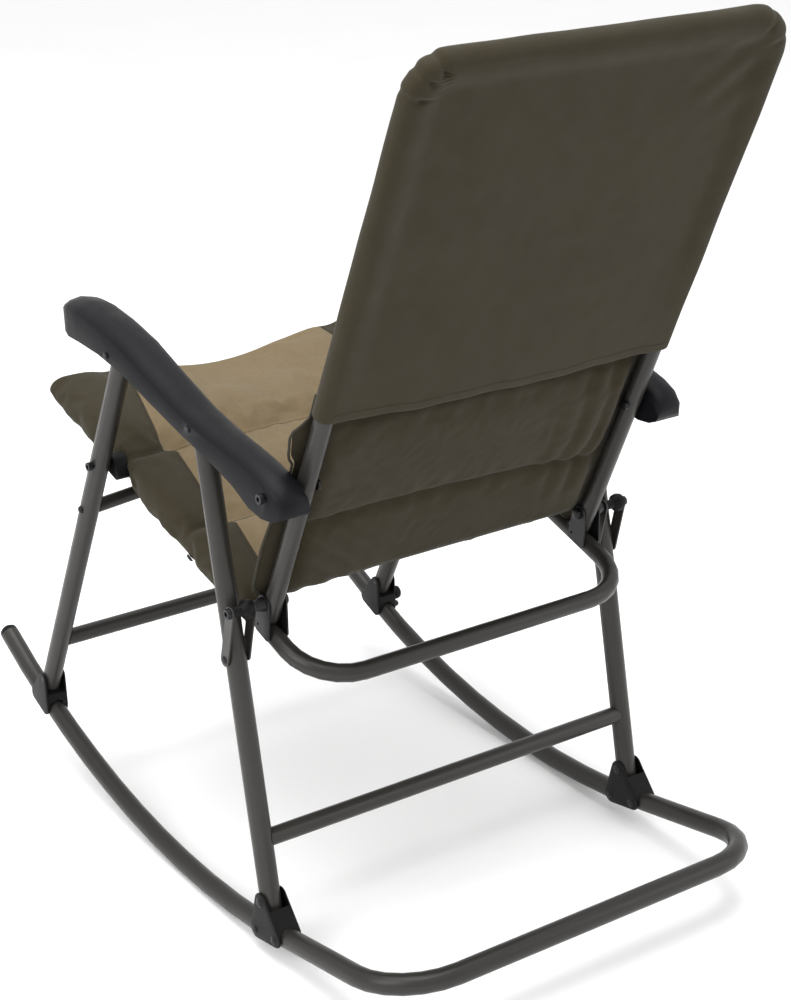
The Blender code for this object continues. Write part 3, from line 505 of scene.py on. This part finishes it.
def inflate(obj, pins, outward, growth, pressure):
    """Swell a quilted shell between its pinned seams and keep the result as its mesh.

    outward is each vertex's way out of the stuffing, which the cloth sinks into by SINK_CAP at most.
    """
    start = np.array([v.co for v in obj.data.vertices], float)
    group = obj.vertex_groups.new(name="seams")
    for index, weight in enumerate(pins):
        if weight > 0.0:
            group.add([index], weight, "REPLACE")
    cloth = obj.modifiers.new("cloth", "CLOTH")
    settings = cloth.settings
    settings.quality = 5
    settings.mass = 0.25
    settings.tension_stiffness = settings.compression_stiffness = 25
    settings.shear_stiffness = 12
    settings.bending_stiffness = 0.6
    settings.effector_weights.gravity = 0.0
    settings.vertex_group_mass = "seams"
    settings.shrink_min = -growth
    settings.use_pressure = True
    settings.uniform_pressure_force = pressure
    cloth.point_cache.frame_start = 1
    cloth.point_cache.frame_end = SIM_FRAMES
    scene = bpy.context.scene
    for number in range(1, SIM_FRAMES + 1):
        scene.frame_set(number)
    graph = bpy.context.evaluated_depsgraph_get()
    swollen = bpy.data.meshes.new_from_object(obj.evaluated_get(graph))
    end = np.array([v.co for v in swollen.vertices], float)
    bpy.data.meshes.remove(swollen)
    obj.modifiers.clear()
    obj.vertex_groups.clear()
    scene.frame_set(1)
    move = end - start
    size = np.linalg.norm(move, axis=1)
    move *= np.where(size > SWELL_CAP, SWELL_CAP / np.maximum(size, 1e-9), 1.0)[:, None]
    sunk = np.minimum((move * outward).sum(axis=1) + SINK_CAP, 0.0)
    move -= outward * sunk[:, None]
    obj.data.vertices.foreach_set("co", (start + move).astype(np.float32).ravel())
    obj.data.update()


def subdivide(obj):
    mod = obj.modifiers.new("smooth", "SUBSURF")
    mod.levels = mod.render_levels = 1


# ---------------------------------------------------------------- quilted pads
class Quilt:
    """A padded shell laid over a plane: an outer skin and an inner skin that meet at the two side hems."""

    def __init__(self, name, plane, rows, outer, inner, tan_span, seams, place):
        """rows and seams are distances along the plane. outer and inner give one row's points (x, out).

        tan_span is the first and one past the last tan column. place shifts a point along the plane.
        """
        self.name = name
        self.plane = plane
        self.rows = rows
        self.seams = seams
        self.width = len(outer(rows[0]))
        verts = []
        for along in rows:
            for x, out in outer(along):
                verts.append(plane.at(x, place(along, x), out))
        for along in rows:
            for x, out in inner(along)[1:-1]:
                verts.append(plane.at(x, place(along, x), out))
        faces, kinds = [], []
        last = len(rows) - 1
        for i in range(last):
            for k in range(self.width - 1):
                faces.append((self.top(i, k), self.top(i, k + 1), self.top(i + 1, k + 1), self.top(i + 1, k)))
                kinds.append(1 if tan_span[0] <= k < tan_span[1] else 0)
                faces.append((self.under(i, k), self.under(i + 1, k), self.under(i + 1, k + 1),
                              self.under(i, k + 1)))
                kinds.append(0)
        for row, flip in ((0, True), (last, False)):
            for k in range(self.width - 1):
                loop = [self.top(row, k), self.top(row, k + 1), self.under(row, k + 1), self.under(row, k)]
                loop = list(dict.fromkeys(loop))
                if len(loop) > 2:
                    faces.append(tuple(loop[::-1] if flip else loop))
                    kinds.append(1 if tan_span[0] <= k < tan_span[1] else 0)
        self.verts, self.faces, self.kinds = verts, faces, kinds

    def top(self, row, column):
        """Number of a vertex of the outer skin."""
        return row * self.width + column

    def under(self, row, column):
        """Number of a vertex of the inner skin, which shares its two hems with the outer one."""
        if column in (0, self.width - 1):
            return self.top(row, column)
        return len(self.rows) * self.width + row * (self.width - 2) + column - 1

    def make(self, materials):
        obj = piece(self.name, self.verts, self.faces, materials)
        for poly, kind in zip(obj.data.polygons, self.kinds):
            poly.material_index = kind
        return obj

    def outward(self):
        """Each vertex's way out: off the plane for the outer skin, the other way for the inner one."""
        face = np.array(self.plane.out)
        split = len(self.rows) * self.width
        return np.array([face if index < split else -face for index in range(len(self.verts))])

    def pins(self, under_weight):
        """Weights that hold the seam rows, the hems and both ends; the inner skin has weights of its own."""
        weights = [0.0] * len(self.verts)
        last = len(self.rows) - 1
        for row, along in enumerate(self.rows):
            near = min(abs(along - seam) for seam in self.seams)
            held = 1.0 if near < 0.55 * MESH_STEP or row in (0, last) else 0.0
            for column in range(self.width):
                edge = column in (0, self.width - 1)
                weights[self.top(row, column)] = 1.0 if edge else held
                if not edge:
                    share = under_weight(along, column / (self.width - 1))
                    weights[self.under(row, column)] = max(held, share)
        return weights


def pillow(along, seams, ends):
    """0 on a seam, 1 in the middle between two seams, with full shoulders."""
    stops = sorted([ends[0], *seams, ends[1]])
    for low, high in zip(stops, stops[1:]):
        if low <= along <= high:
            share = abs(2.0 * (along - low) / (high - low) - 1.0)
            return math.sqrt(max(0.0, 1.0 - share ** 3.2))
    return 0.0


# ---------------------------------------------------------------- seat
SEAT_BACK_END = 0.020        # distances along the seat from the hinge line
SEAT_FRONT_END = 0.5230
SEAT_SEAMS = (0.1700, 0.3250)
SEAT_SEAM_HEIGHT = 0.0150    # outer skin off the tubes' plane, on a seam
SEAT_LOFT = 0.0110           # stuffing between two seams, at the middle
SEAT_BORDER_LOFT = 0.0060    # what the olive borders stand higher
SEAT_UNDERSIDE = 0.0126      # inner skin off the tubes' plane, and off the tube's axis
SEAT_HEM = 0.0140            # hem off the tube's axis
SLEEVE_START = math.radians(98.0)  # where the sleeve leaves the flat part, up from the outer side


def seat_sag(along, x):
    """The cloth dips towards its front edge, where it lies on the bowed front bar."""
    if abs(x) >= 0.205:
        return 0.0
    middle = max(0.0, 1.0 - (x / 0.182) ** 2) ** 2
    return -(0.0010 + 0.0215 * middle) * smoothstep(0.33, 0.505, along)


def seat_curl(along, x):
    """The rear edge curls up between the sleeves to meet the back panel."""
    return 0.016 * smoothstep(0.064, 0.022, along) * smoothstep(0.222, 0.190, abs(x))


def seat_place(along, x):
    """The rear edge steps forward between the sleeves, and the front corners reach past the middle."""
    rear = 0.004 * smoothstep(0.225, 0.185, abs(x)) * smoothstep(0.12, 0.02, along)
    front = 0.007 * smoothstep(0.215, 0.170, abs(x)) * smoothstep(0.36, SEAT_FRONT_END, along)
    return along + rear - front


def tan_half(along):
    """Half width of the tan panel: narrower towards the front, and stepped where each quilted band starts."""
    stops = (SEAT_BACK_END, *SEAT_SEAMS, SEAT_FRONT_END)
    step = 0.0
    for low, high in zip(stops, stops[1:]):
        if low <= along <= high:
            step = 0.011 - 0.018 * (along - low) / (high - low)
    return eased(((0.02, 0.196), (0.30, 0.184), (0.50, 0.164)), along) + step


def warp(along, x):
    """x of a point of the flat part, moved so that the colour joint follows the tan panel's edge."""
    half = tan_half(along)
    if x <= TAN_HALF:
        return x * half / TAN_HALF
    if x >= TUBE_X:
        return x
    return half + (x - TAN_HALF) * (TUBE_X - half) / (TUBE_X - TAN_HALF)


def seat_reach(along):
    """How far the sleeve stands off the tube's axis at its side."""
    return eased(((0.020, 0.0155), (0.060, 0.0168), (0.120, 0.0178), (0.170, 0.0150), (0.220, 0.0212),
                  (0.275, 0.0205), (0.312, 0.0158), (0.345, 0.0156), (0.380, 0.0172), (0.430, 0.0205),
                  (0.480, 0.0210), (0.520, 0.0195)), along)


def seat_wrap(along):
    """Angle at which the sleeve ends, measured up from the outer side."""
    return math.radians(eased(((0.020, -52.0), (0.150, -60.0), (0.275, -62.0), (0.300, -44.0),
                               (0.312, 30.0), (0.356, 34.0), (0.376, -34.0), (0.430, -56.0),
                               (0.480, -48.0), (0.520, -16.0)), along))


SEAT_FLAT = spaced(0.0, TUBE_X - 0.012, MESH_STEP)  # x of the flat part's points
SEAT_ARC = 15                # points round the sleeve


def mirror_section(half):
    """Full row from the left hem to the right hem, from a half given from the middle outwards."""
    return half[::-1] + [(-x, out) for x, out in half[1:]]


def sleeve_angles(along):
    """Angles of the sleeve's points round the tube, from just inside its crown to the hem."""
    turn = seat_wrap(along) - SLEEVE_START
    return [SLEEVE_START + turn * (k / SEAT_ARC) for k in range(1, SEAT_ARC + 1)]


def front_taper(along):
    """The stuffing thins out over the front bar."""
    return 1.0 - 0.62 * smoothstep(0.38, 0.510, along)


def pucker(along, x):
    """Small gathers either side of a seam, standing off the cloth."""
    near = min(abs(along - seam) for seam in SEAT_SEAMS)
    wave = noise.noise(Vector((x * 48.0, along * 9.0, 3.1)))
    return 0.0034 * wave * hump(near - 0.012, 0.011)


def seat_outer(along):
    """One row of the seat's outer skin: the stuffed flat part, then the sleeve round the tube."""
    puff = pillow(along, SEAT_SEAMS, (SEAT_BACK_END, SEAT_FRONT_END))
    half = []
    for x in SEAT_FLAT:
        dome = 1.0 - 0.25 * (x / TUBE_X) ** 2
        crease = 0.0045 * hump(x - TAN_HALF, 0.011)
        border = SEAT_BORDER_LOFT * smoothstep(TAN_HALF, TUBE_X, x)
        height = SEAT_SEAM_HEIGHT + puff * front_taper(along) * (SEAT_LOFT * dome + border - crease)
        height = height + seat_sag(along, x) + seat_curl(along, x) + pucker(along, x)
        half.append((warp(along, x), height))
    reach = seat_reach(along)
    crown = SEAT_SEAM_HEIGHT + puff * front_taper(along) * (SEAT_LOFT * 0.75 + SEAT_BORDER_LOFT)
    quarter = math.radians(90.0)
    angles = sleeve_angles(along)
    for angle in angles:
        side = 0.5 - 0.5 * math.cos(2 * min(max(quarter - angle, 0.0), quarter))
        radius = crown + (reach - crown) * side
        if angle < 0.0:
            radius = reach + (0.0155 - reach) * smoothstep(0.0, math.radians(70.0), -angle)
        if angle == angles[-1]:
            radius = SEAT_HEM
        half.append((TUBE_X + radius * math.cos(angle), radius * math.sin(angle)))
    return mirror_section(half)


def seat_inner(along):
    """One row of the seat's inner skin, which meets the outer one at the hem."""
    half = [(warp(along, x), SEAT_UNDERSIDE + seat_sag(along, x) + seat_curl(along, x)) for x in SEAT_FLAT]
    angles = sleeve_angles(along)
    for angle in angles:
        radius = SEAT_HEM if angle == angles[-1] else SEAT_UNDERSIDE
        half.append((TUBE_X + radius * math.cos(angle), radius * math.sin(angle)))
    return mirror_section(half)


def tan_columns(width, flat):
    """First and one past the last outer column of the tan panel."""
    middle = width // 2
    reach = max(index for index, x in enumerate(flat) if x <= TAN_HALF + 0.001)
    return middle - reach, middle + reach


def build_seat(looks):
    rows = spaced(SEAT_BACK_END, SEAT_FRONT_END, MESH_STEP)
    width = len(seat_outer(rows[0]))
    tan_span = tan_columns(width, SEAT_FLAT)
    quilt = Quilt("seat_cushion", SEAT, rows, seat_outer, seat_inner, tan_span, SEAT_SEAMS, seat_place)
    cushion = quilt.make([looks["seat_olive"], looks["seat_tan"]])
    inflate(cushion, quilt.pins(lambda along, share: 1.0), quilt.outward(), 0.030, 2.0)
    subdivide(cushion)
    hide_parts("seat_pad")
    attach(cushion, "seat")
    return cushion


# ---------------------------------------------------------------- back
BACK_LOW_END = 0.0345        # distances up the back from the hinge line
BACK_HIGH_END = 0.7560
BACK_SEAMS = (0.1750, 0.3080, 0.4400, 0.5720)
REAR_SEAMS = (0.1480, 0.2950)  # seams of the rear cloth below the cover
REAR_SEAM_HALF = 0.0032      # half width of a rear seam's valley
BACK_HALF = 0.256            # half width that the columns are spaced for
BACK_CORNER = 0.060          # radius of the panel's top corners
BACK_EDGE_HEIGHT = 0.0150    # front skin off the tubes' plane, at its edge
BACK_SEAM_HEIGHT = 0.0200    # and on a seam
BACK_LOFT = 0.0130
REAR_SKIN = 0.0128


def back_half(along):
    """Half width of the quilted panel, narrow beside the arms and rounded at the top."""
    width = eased(((0.040, 0.2440), (0.060, 0.2560), (0.120, 0.2580), (0.165, 0.2545), (0.190, 0.2455),
                   (0.245, 0.2455), (0.262, 0.2545), (0.292, 0.2585), (0.314, 0.2385), (0.690, 0.2350)),
                  along)
    corner = along - (BACK_HIGH_END - BACK_CORNER)
    if corner > 0.0:
        width -= BACK_CORNER - math.sqrt(max(0.0, BACK_CORNER ** 2 - min(corner, BACK_CORNER) ** 2))
    return width


BACK_COLUMNS = spaced(0.0, 1.0, MESH_STEP / BACK_HALF)  # as shares of the half width


def back_front(along):
    """One row of the back's front skin."""
    puff = pillow(along, BACK_SEAMS, (BACK_LOW_END, BACK_HIGH_END))
    half = []
    limit = back_half(along)
    for share in BACK_COLUMNS:
        x = share * limit
        edge = smoothstep(1.0, 0.86, share)
        crease = 0.0050 * hump(share - TAN_HALF / BACK_HALF, 0.04)
        rise = BACK_SEAM_HEIGHT - BACK_EDGE_HEIGHT + puff * (BACK_LOFT - crease)
        half.append((x, BACK_EDGE_HEIGHT + edge * rise))
    return mirror_section(half)


def back_rear(along):
    """One row of the back's rear skin."""
    limit = back_half(along)
    half = [(share * limit, REAR_SKIN + 0.0022 * smoothstep(0.9, 1.0, share)) for share in BACK_COLUMNS]
    return [(x, out - rear_relief(x, along)) for x, out in mirror_section(half)]


def rear_relief(x, along):
    """How far the rear cloth stands back between the tubes: quilted bands, with drag folds at their ends."""
    room = smoothstep(TUBE_X - 0.004, TUBE_X - 0.034, abs(x))
    if along > 0.34 or room == 0.0:
        return 0.0
    lower, upper = (abs(along - spot) for spot in REAR_SEAMS)
    seam = min(lower, upper * 0.8)
    puff = 0.0060 * (1.0 - hump(seam, 0.0045)) + 0.0050 * (1.0 - hump(seam, 0.022))
    puff *= smoothstep(0.036, 0.056, along)
    shift = noise.noise(Vector((x * 6.0, along * 7.0, 2.2))) * 2.6
    drag_right = abs(math.sin((x + 0.9 * (along - 0.15) ** 2) * 88.0 + shift)) * smoothstep(-0.100, -0.185, x)
    drag_right *= 0.0080 * smoothstep(0.05, 0.13, along) * smoothstep(0.325, 0.27, along)
    slant = (x - 0.11 - 1.15 * (along - 0.04)) * 78.0 + shift
    fan = smoothstep(0.050, 0.190, x) * hump(along - 0.085, 0.055)
    fan += 0.6 * smoothstep(0.120, 0.200, x) * hump(along - 0.24, 0.04)
    drag_left = 0.0075 * abs(math.sin(slant)) * fan
    gathers = 0.0036 * noise.noise(Vector((x * 34.0, along * 10.0, 8.0))) * hump(seam - 0.012, 0.012)
    tuck = 0.0090 * smoothstep(0.292, 0.312, along)
    return room * (puff + drag_right + drag_left + gathers - tuck)


def back_place(along, x):
    """The rear seams, and the rows with them, run in a shallow wave."""
    below_cover = smoothstep(0.04, 0.12, along) * smoothstep(0.34, 0.24, along)
    return along + 0.005 * math.sin(9.0 * x + 0.4) * below_cover


def rear_hold(along, share):
    """How firmly the rear cloth is held: beside the tubes, at its seams and under the cover in full."""
    side = abs(share - 0.5) * 2.0
    near = min(abs(along - seam) for seam in REAR_SEAMS)
    if side > 0.86 or near < 0.6 * MESH_STEP or along > 0.33:
        return 1.0
    return 0.45


def yield_to_arms(obj):
    """Gives a piece of the soft back panel a mesh of its own; it is not pressed in at its sides."""
    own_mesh(obj)


def back_rows():
    """Even rows up the back, with three on each rear seam to keep its valley sharp."""
    seams = [seam + shift for seam in REAR_SEAMS for shift in (-REAR_SEAM_HALF, 0.0, REAR_SEAM_HALF)]
    even = spaced(BACK_LOW_END, BACK_HIGH_END, MESH_STEP)
    return sorted([row for row in even if min(abs(row - seam) for seam in seams) > 0.002] + seams)


def build_back(looks):
    rows = back_rows()
    width = len(back_front(rows[0]))
    tan_span = tan_columns(width, [share * BACK_HALF for share in BACK_COLUMNS])
    quilt = Quilt("back_cushion", BACK, rows, back_front, back_rear, tan_span, BACK_SEAMS, back_place)
    cushion = quilt.make([looks["back_olive"], looks["back_tan"]])
    inflate(cushion, quilt.pins(rear_hold), quilt.outward(), 0.018, 1.0)
    subdivide(cushion)
    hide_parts("back_pad")
    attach(cushion, "back")
    yield_to_arms(cushion)
    return cushion


def build_piping(looks):
    """Corded edge down each side of the back panel."""
    for tag, side in (("left", 1), ("right", -1)):
        points = []
        for along in spaced(0.046, 0.345, 0.008):
            points.append(BACK.at(side * (back_half(along) + 0.0006), along, 0.0148))
        cord = rod(f"back_piping_{tag}", points, 0.0016, looks["thread"])
        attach(cord, "back")
        yield_to_arms(cord)


# ---------------------------------------------------------------- cover
ALONG_PER_RISE = math.hypot(1.0, BACK_SLOPE)
AXIS_SHIFT = (BACK_AXIS[1] - CORNER[2]) * ALONG_PER_RISE
COVER_TOP = (BACK_TOP_Z - BACK_AXIS[1]) * ALONG_PER_RISE + AXIS_SHIFT
COVER_REACH = 0.0142         # cloth off the tube's axis
COVER_BENDS = {1: 0.036, -1: 0.046}  # corner radius on the left (+X) and on the right
SIDE_STEPS = 66
ARC_STEPS = 28
COLUMN_SHARE = 0.015         # width of a column of the cover's mesh, as a share of its width
WRAP_TURNS = (18, 36, 54, 72, 90, 108, 126, 144, 158)  # degrees from the rear to the front
GATHERS = {                  # (bearing in degrees round the corner, weight) of each tuck
    1: ((8.0, 0.9), (40.0, 1.2), (66.0, 1.1)),
    -1: ((30.0, 0.45), (64.0, 0.55)),
}


def cover_hem(x):
    """The hem drops a little towards the sitter's right and waves gently."""
    middle = 1.0 - (x / TUBE_X) ** 2
    wave = 0.0012 * math.sin(37.0 * x + 0.6) + 0.0008 * math.sin(91.0 * x)
    return 0.3225 + 0.0030 * x / TUBE_X - 0.0065 * middle + wave


def rim_inset(x, along):
    """Distance in from the line of the tube's axis."""
    bend = COVER_BENDS[1 if x >= 0.0 else -1]
    side = abs(x) - (TUBE_X - bend)
    up = along - (COVER_TOP - bend)
    if side > 0.0 and up > 0.0:
        return bend - math.hypot(side, up)
    return bend - max(side, up)


def gather(x, along):
    """Depth of the gathers round a top corner: tucks, each with a pit at the rim and a lip beside it."""
    side = 1 if x >= 0.0 else -1
    bend = COVER_BENDS[side]
    across = side * x - (TUBE_X - bend)
    up = along - (COVER_TOP - bend)
    if across < -0.02 or up < -0.02:
        return 0.0
    bearing = math.degrees(math.atan2(max(up, 0.0001), max(across, 0.0001)))
    reach = math.hypot(max(across, 0.0), max(up, 0.0))
    depth = 0.0
    for spot, weight in GATHERS[side]:
        bent = spot + 160.0 * (bend - reach)
        fold = hump(bearing - bent, 4.6)
        lip = hump(bearing - bent - 10.0, 5.5)
        pit = hump(reach - bend + 0.001, 0.0052)
        depth += weight * ((0.0022 + 0.0062 * pit) * fold - 0.0016 * lip)
    return depth * smoothstep(0.006, 0.022, reach)


def cover_out(x, along):
    """How far the rear cloth is off the tube plane: a ridge over the tube, a valley inside it, then flat."""
    inset = rim_inset(x, along)
    ridge = -COVER_REACH - 0.0012
    taut = 0.10 + 0.90 * smoothstep(0.330, 0.520, along)
    valley = 0.0068 * taut * smoothstep(0.002, 0.030, inset)
    flat = -0.0014 * smoothstep(0.030, 0.120, inset)
    soft = 0.0022 * noise.noise(Vector((x * 5.0, along * 4.0, 0.7))) * smoothstep(0.0, 0.06, inset)
    corner = 0.9 * gather(x, along) * smoothstep(0.040, 0.004, inset)
    drag = 0.0016 * math.sin((along - 0.8 * abs(x)) * 120.0) * hump(along - COVER_TOP + 0.06, 0.05)
    drag *= smoothstep(0.10, 0.19, abs(x)) * smoothstep(0.0, 0.02, inset)
    return ridge + valley + flat + soft + corner + drag


def cover_side(side):
    """Axis line up one side and round its corner, as (x, along, outward x, outward along)."""
    bend = COVER_BENDS[side]
    low = cover_hem(side * TUBE_X)
    top = COVER_TOP - bend
    line = [(side * TUBE_X, low + (top - low) * k / SIDE_STEPS, side, 0.0) for k in range(SIDE_STEPS)]
    for k in range(ARC_STEPS + 1):
        angle = 0.5 * math.pi * k / ARC_STEPS
        line.append((side * (TUBE_X - bend + bend * math.cos(angle)), top + bend * math.sin(angle),
                     side * math.cos(angle), math.sin(angle)))
    return line


def cover_sheet(left, right, columns, verts, faces):
    """Rear sheet between the two sides, added to verts and faces; gives its rows of vertex numbers."""
    grid = []
    for row, (a, b) in enumerate(zip(left, right)):
        line = []
        for share in columns:
            x = a[0] + (b[0] - a[0]) * share
            along = cover_hem(x) if row == 0 else a[1] + (b[1] - a[1]) * share
            line.append(len(verts))
            verts.append(BACK.at(x, along, cover_out(x, along)))
        grid.append(line)
    for low, high in zip(grid, grid[1:]):
        for k in range(len(columns) - 1):
            faces.append((low[k], low[k + 1], high[k + 1], high[k]))
    return grid


def cover_rim(left, right, columns, grid):
    """The sheet's outline from hem to hem, as (vertex, x, along, outward x, outward along)."""
    rim = [(row[0], *spot) for row, spot in zip(grid, left)]
    for k in range(1, len(columns) - 1):
        x = left[-1][0] + (right[-1][0] - left[-1][0]) * columns[k]
        rim.append((grid[-1][k], x, COVER_TOP, 0.0, 1.0))
    return rim + [(row[-1], *spot) for row, spot in zip(grid[::-1], right[::-1])]


def wrap_point(x, along, nx, na, turn):
    """Where the cloth runs at a turn round the tube, in degrees, from a point of its rim."""
    angle = math.radians(turn)
    fold = gather(x + nx * 0.004, along + na * 0.004) * (0.35 + 0.65 * math.sin(min(angle * 1.2, math.pi)))
    ripple = 0.0014 * noise.noise(Vector((x * 16.0, along * 11.0, turn * 0.02)))
    loose = 0.0020 * math.sin(angle) * (1.0 if na > 0.5 else 0.6)
    reach = COVER_REACH + 0.0012 * math.cos(angle) + loose + ripple - 0.6 * fold
    return BACK.at(x + nx * reach * math.sin(angle), along + na * reach * math.sin(angle),
                   -reach * math.cos(angle))


def build_cover(looks):
    """Pocket slipped over the top of the back tube: rear sheet, and a rim that wraps round to the front."""
    left, right = cover_side(1), cover_side(-1)
    columns = spaced(0.0, 1.0, COLUMN_SHARE)
    verts, faces = [], []
    grid = cover_sheet(left, right, columns, verts, faces)
    rim = cover_rim(left, right, columns, grid)
    before = [entry[0] for entry in rim]
    for turn in WRAP_TURNS:
        ring = list(range(len(verts), len(verts) + len(rim)))
        verts += [wrap_point(*entry[1:], turn) for entry in rim]
        for k in range(len(rim) - 1):
            faces.append((before[k], before[k + 1], ring[k + 1], ring[k]))
        before = ring
    cover = piece("cover_cloth", verts, faces, [looks["back_olive"]])
    shell = cover.modifiers.new("cloth_thickness", "SOLIDIFY")
    shell.thickness = CLOTH
    shell.offset = -1.0
    subdivide(cover)
    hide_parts("back_cover")
    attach(cover, "back")
    return cover


# ---------------------------------------------------------------- stitching
SEAM_STEP = 0.006            # spacing of the points that a seam is laid through
JOIN_INSET = 0.0015          # stitches beside the colour joint


def skin(obj):
    """Search tree of a finished piece, modifiers included."""
    graph = bpy.context.evaluated_depsgraph_get()
    return BVHTree.FromObject(obj, graph)


def lay(tree, points, toward):
    """Points dropped on a skin along a direction; those that miss are left out."""
    placed = []
    for point in points:
        hit = tree.ray_cast(point - toward * 0.06, toward, 0.12)[0]
        if hit is not None:
            placed.append(hit)
    return placed


def seam_line(name, tree, points, toward, looks, body, presses_in=False):
    """Row of stitches laid on a skin, given a mesh of its own when presses_in is set."""
    placed = lay(tree, points, toward)
    if len(placed) > 3:
        thread = stitches(name, placed, -toward, looks["thread"])
        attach(thread, body)
        if presses_in:
            yield_to_arms(thread)


def build_stitching(looks, seat, back, cover):
    bpy.context.view_layer.update()
    seat_skin, back_skin, cover_skin = skin(seat), skin(back), skin(cover)
    down, in_front, from_rear = -SEAT.out, -BACK.out, BACK.out
    for number, seam in enumerate(SEAT_SEAMS, 1):
        points = [SEAT.at(x, seat_place(seam, x), 0.02) for x in spaced(-0.236, 0.236, SEAM_STEP)]
        seam_line(f"seat_seam_{number}", seat_skin, points, down, looks, "seat")
    for tag, side in (("left", 1), ("right", -1)):
        points = [SEAT.at(side * (tan_half(t) + JOIN_INSET), seat_place(t, tan_half(t)), 0.02)
                  for t in spaced(0.05, 0.518, SEAM_STEP)]
        seam_line(f"seat_join_{tag}", seat_skin, points, down, looks, "seat")
        points = [BACK.at(side * (back_half(d) * TAN_HALF / BACK_HALF + JOIN_INSET), d, 0.02)
                  for d in spaced(0.05, 0.740, SEAM_STEP)]
        seam_line(f"back_join_{tag}", back_skin, points, in_front, looks, "back", True)
    for number, seam in enumerate(BACK_SEAMS, 1):
        points = [BACK.at(x, seam, 0.02) for x in spaced(-0.232, 0.232, SEAM_STEP)]
        seam_line(f"back_seam_{number}", back_skin, points, in_front, looks, "back", True)
    across = spaced(-0.195, 0.195, SEAM_STEP)
    points = [BACK.at(x, back_place(REAR_SEAMS[0], x) - 0.0016, 0.0) for x in across]
    seam_line("rear_seam", back_skin, points, from_rear, looks, "back", True)
    points = [BACK.at(x, cover_hem(x) + 0.012, 0.0) for x in spaced(-0.236, 0.236, SEAM_STEP)]
    seam_line("cover_hem_stitches", cover_skin, points, from_rear, looks, "back")


# ---------------------------------------------------------------- fasteners
SCREW_HEAD = (               # (radius, height) from the seat of the head out to its dimple
    (0.0, 0.0000), (0.0052, 0.0000), (0.0052, 0.0008), (0.0044, 0.0024), (0.0026, 0.0032), (0.0022, 0.0024),
    (0.0, 0.0022),
)
RIVET_HEAD = (
    (0.0, -0.0004), (0.0048, -0.0004), (0.0048, 0.0006), (0.0042, 0.0020), (0.0026, 0.0031), (0.0, 0.0034),
)


def build_seat_screws(looks):
    """Screws that hold the sleeve's edge to the seat tube, on the outside of each sleeve."""
    for tag, side in (("left", 1), ("right", -1)):
        centre = SEAT.at(side * 0.2455, 0.1560, -0.0095)
        axis = (Vector((side * 1.0, 0.0, 0.0)) - SEAT.out * 0.6).normalized()
        screw = lathe(f"seat_screw_{tag}", centre, axis, SCREW_HEAD, looks["zinc"])
        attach(screw, "seat")


def build_leg_rivets(looks):
    """Rivets through the front legs that hold the stretcher's flattened ends."""
    low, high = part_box("front_stretcher")
    for tag, side in (("left", 1), ("right", -1)):
        centre = leg_surface(NODES[f"front_leg_{tag}"], side, 0.5 * (low.z + high.z) - 0.004)
        rivet = lathe(f"stretcher_rivet_{tag}", centre, Vector((side, 0.0, 0.0)), RIVET_HEAD, looks["zinc"])
        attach(rivet, "front_frame")


def leg_surface(leg, side, height):
    """Outermost point of a leg at a height."""
    tree = BVHTree.FromObject(leg, bpy.context.evaluated_depsgraph_get())
    low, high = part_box(leg.name)
    best = None
    for y in spaced(low.y, high.y, 0.001):
        start = Vector((side * 0.4, y, height))
        hit = tree.ray_cast(start, Vector((-side, 0.0, 0.0)), 0.2)[0]
        if hit is not None and (best is None or side * hit.x > side * best.x):
            best = hit
    return best


build_camera()
build_lights()
build_floor()
looks = build_looks()
dress_frame(looks)
seat_cushion = build_seat(looks)
back_cushion = build_back(looks)
build_piping(looks)
cover_cloth = build_cover(looks)
build_stitching(looks, seat_cushion, back_cushion, cover_cloth)
build_seat_screws(looks)
build_leg_rivets(looks)
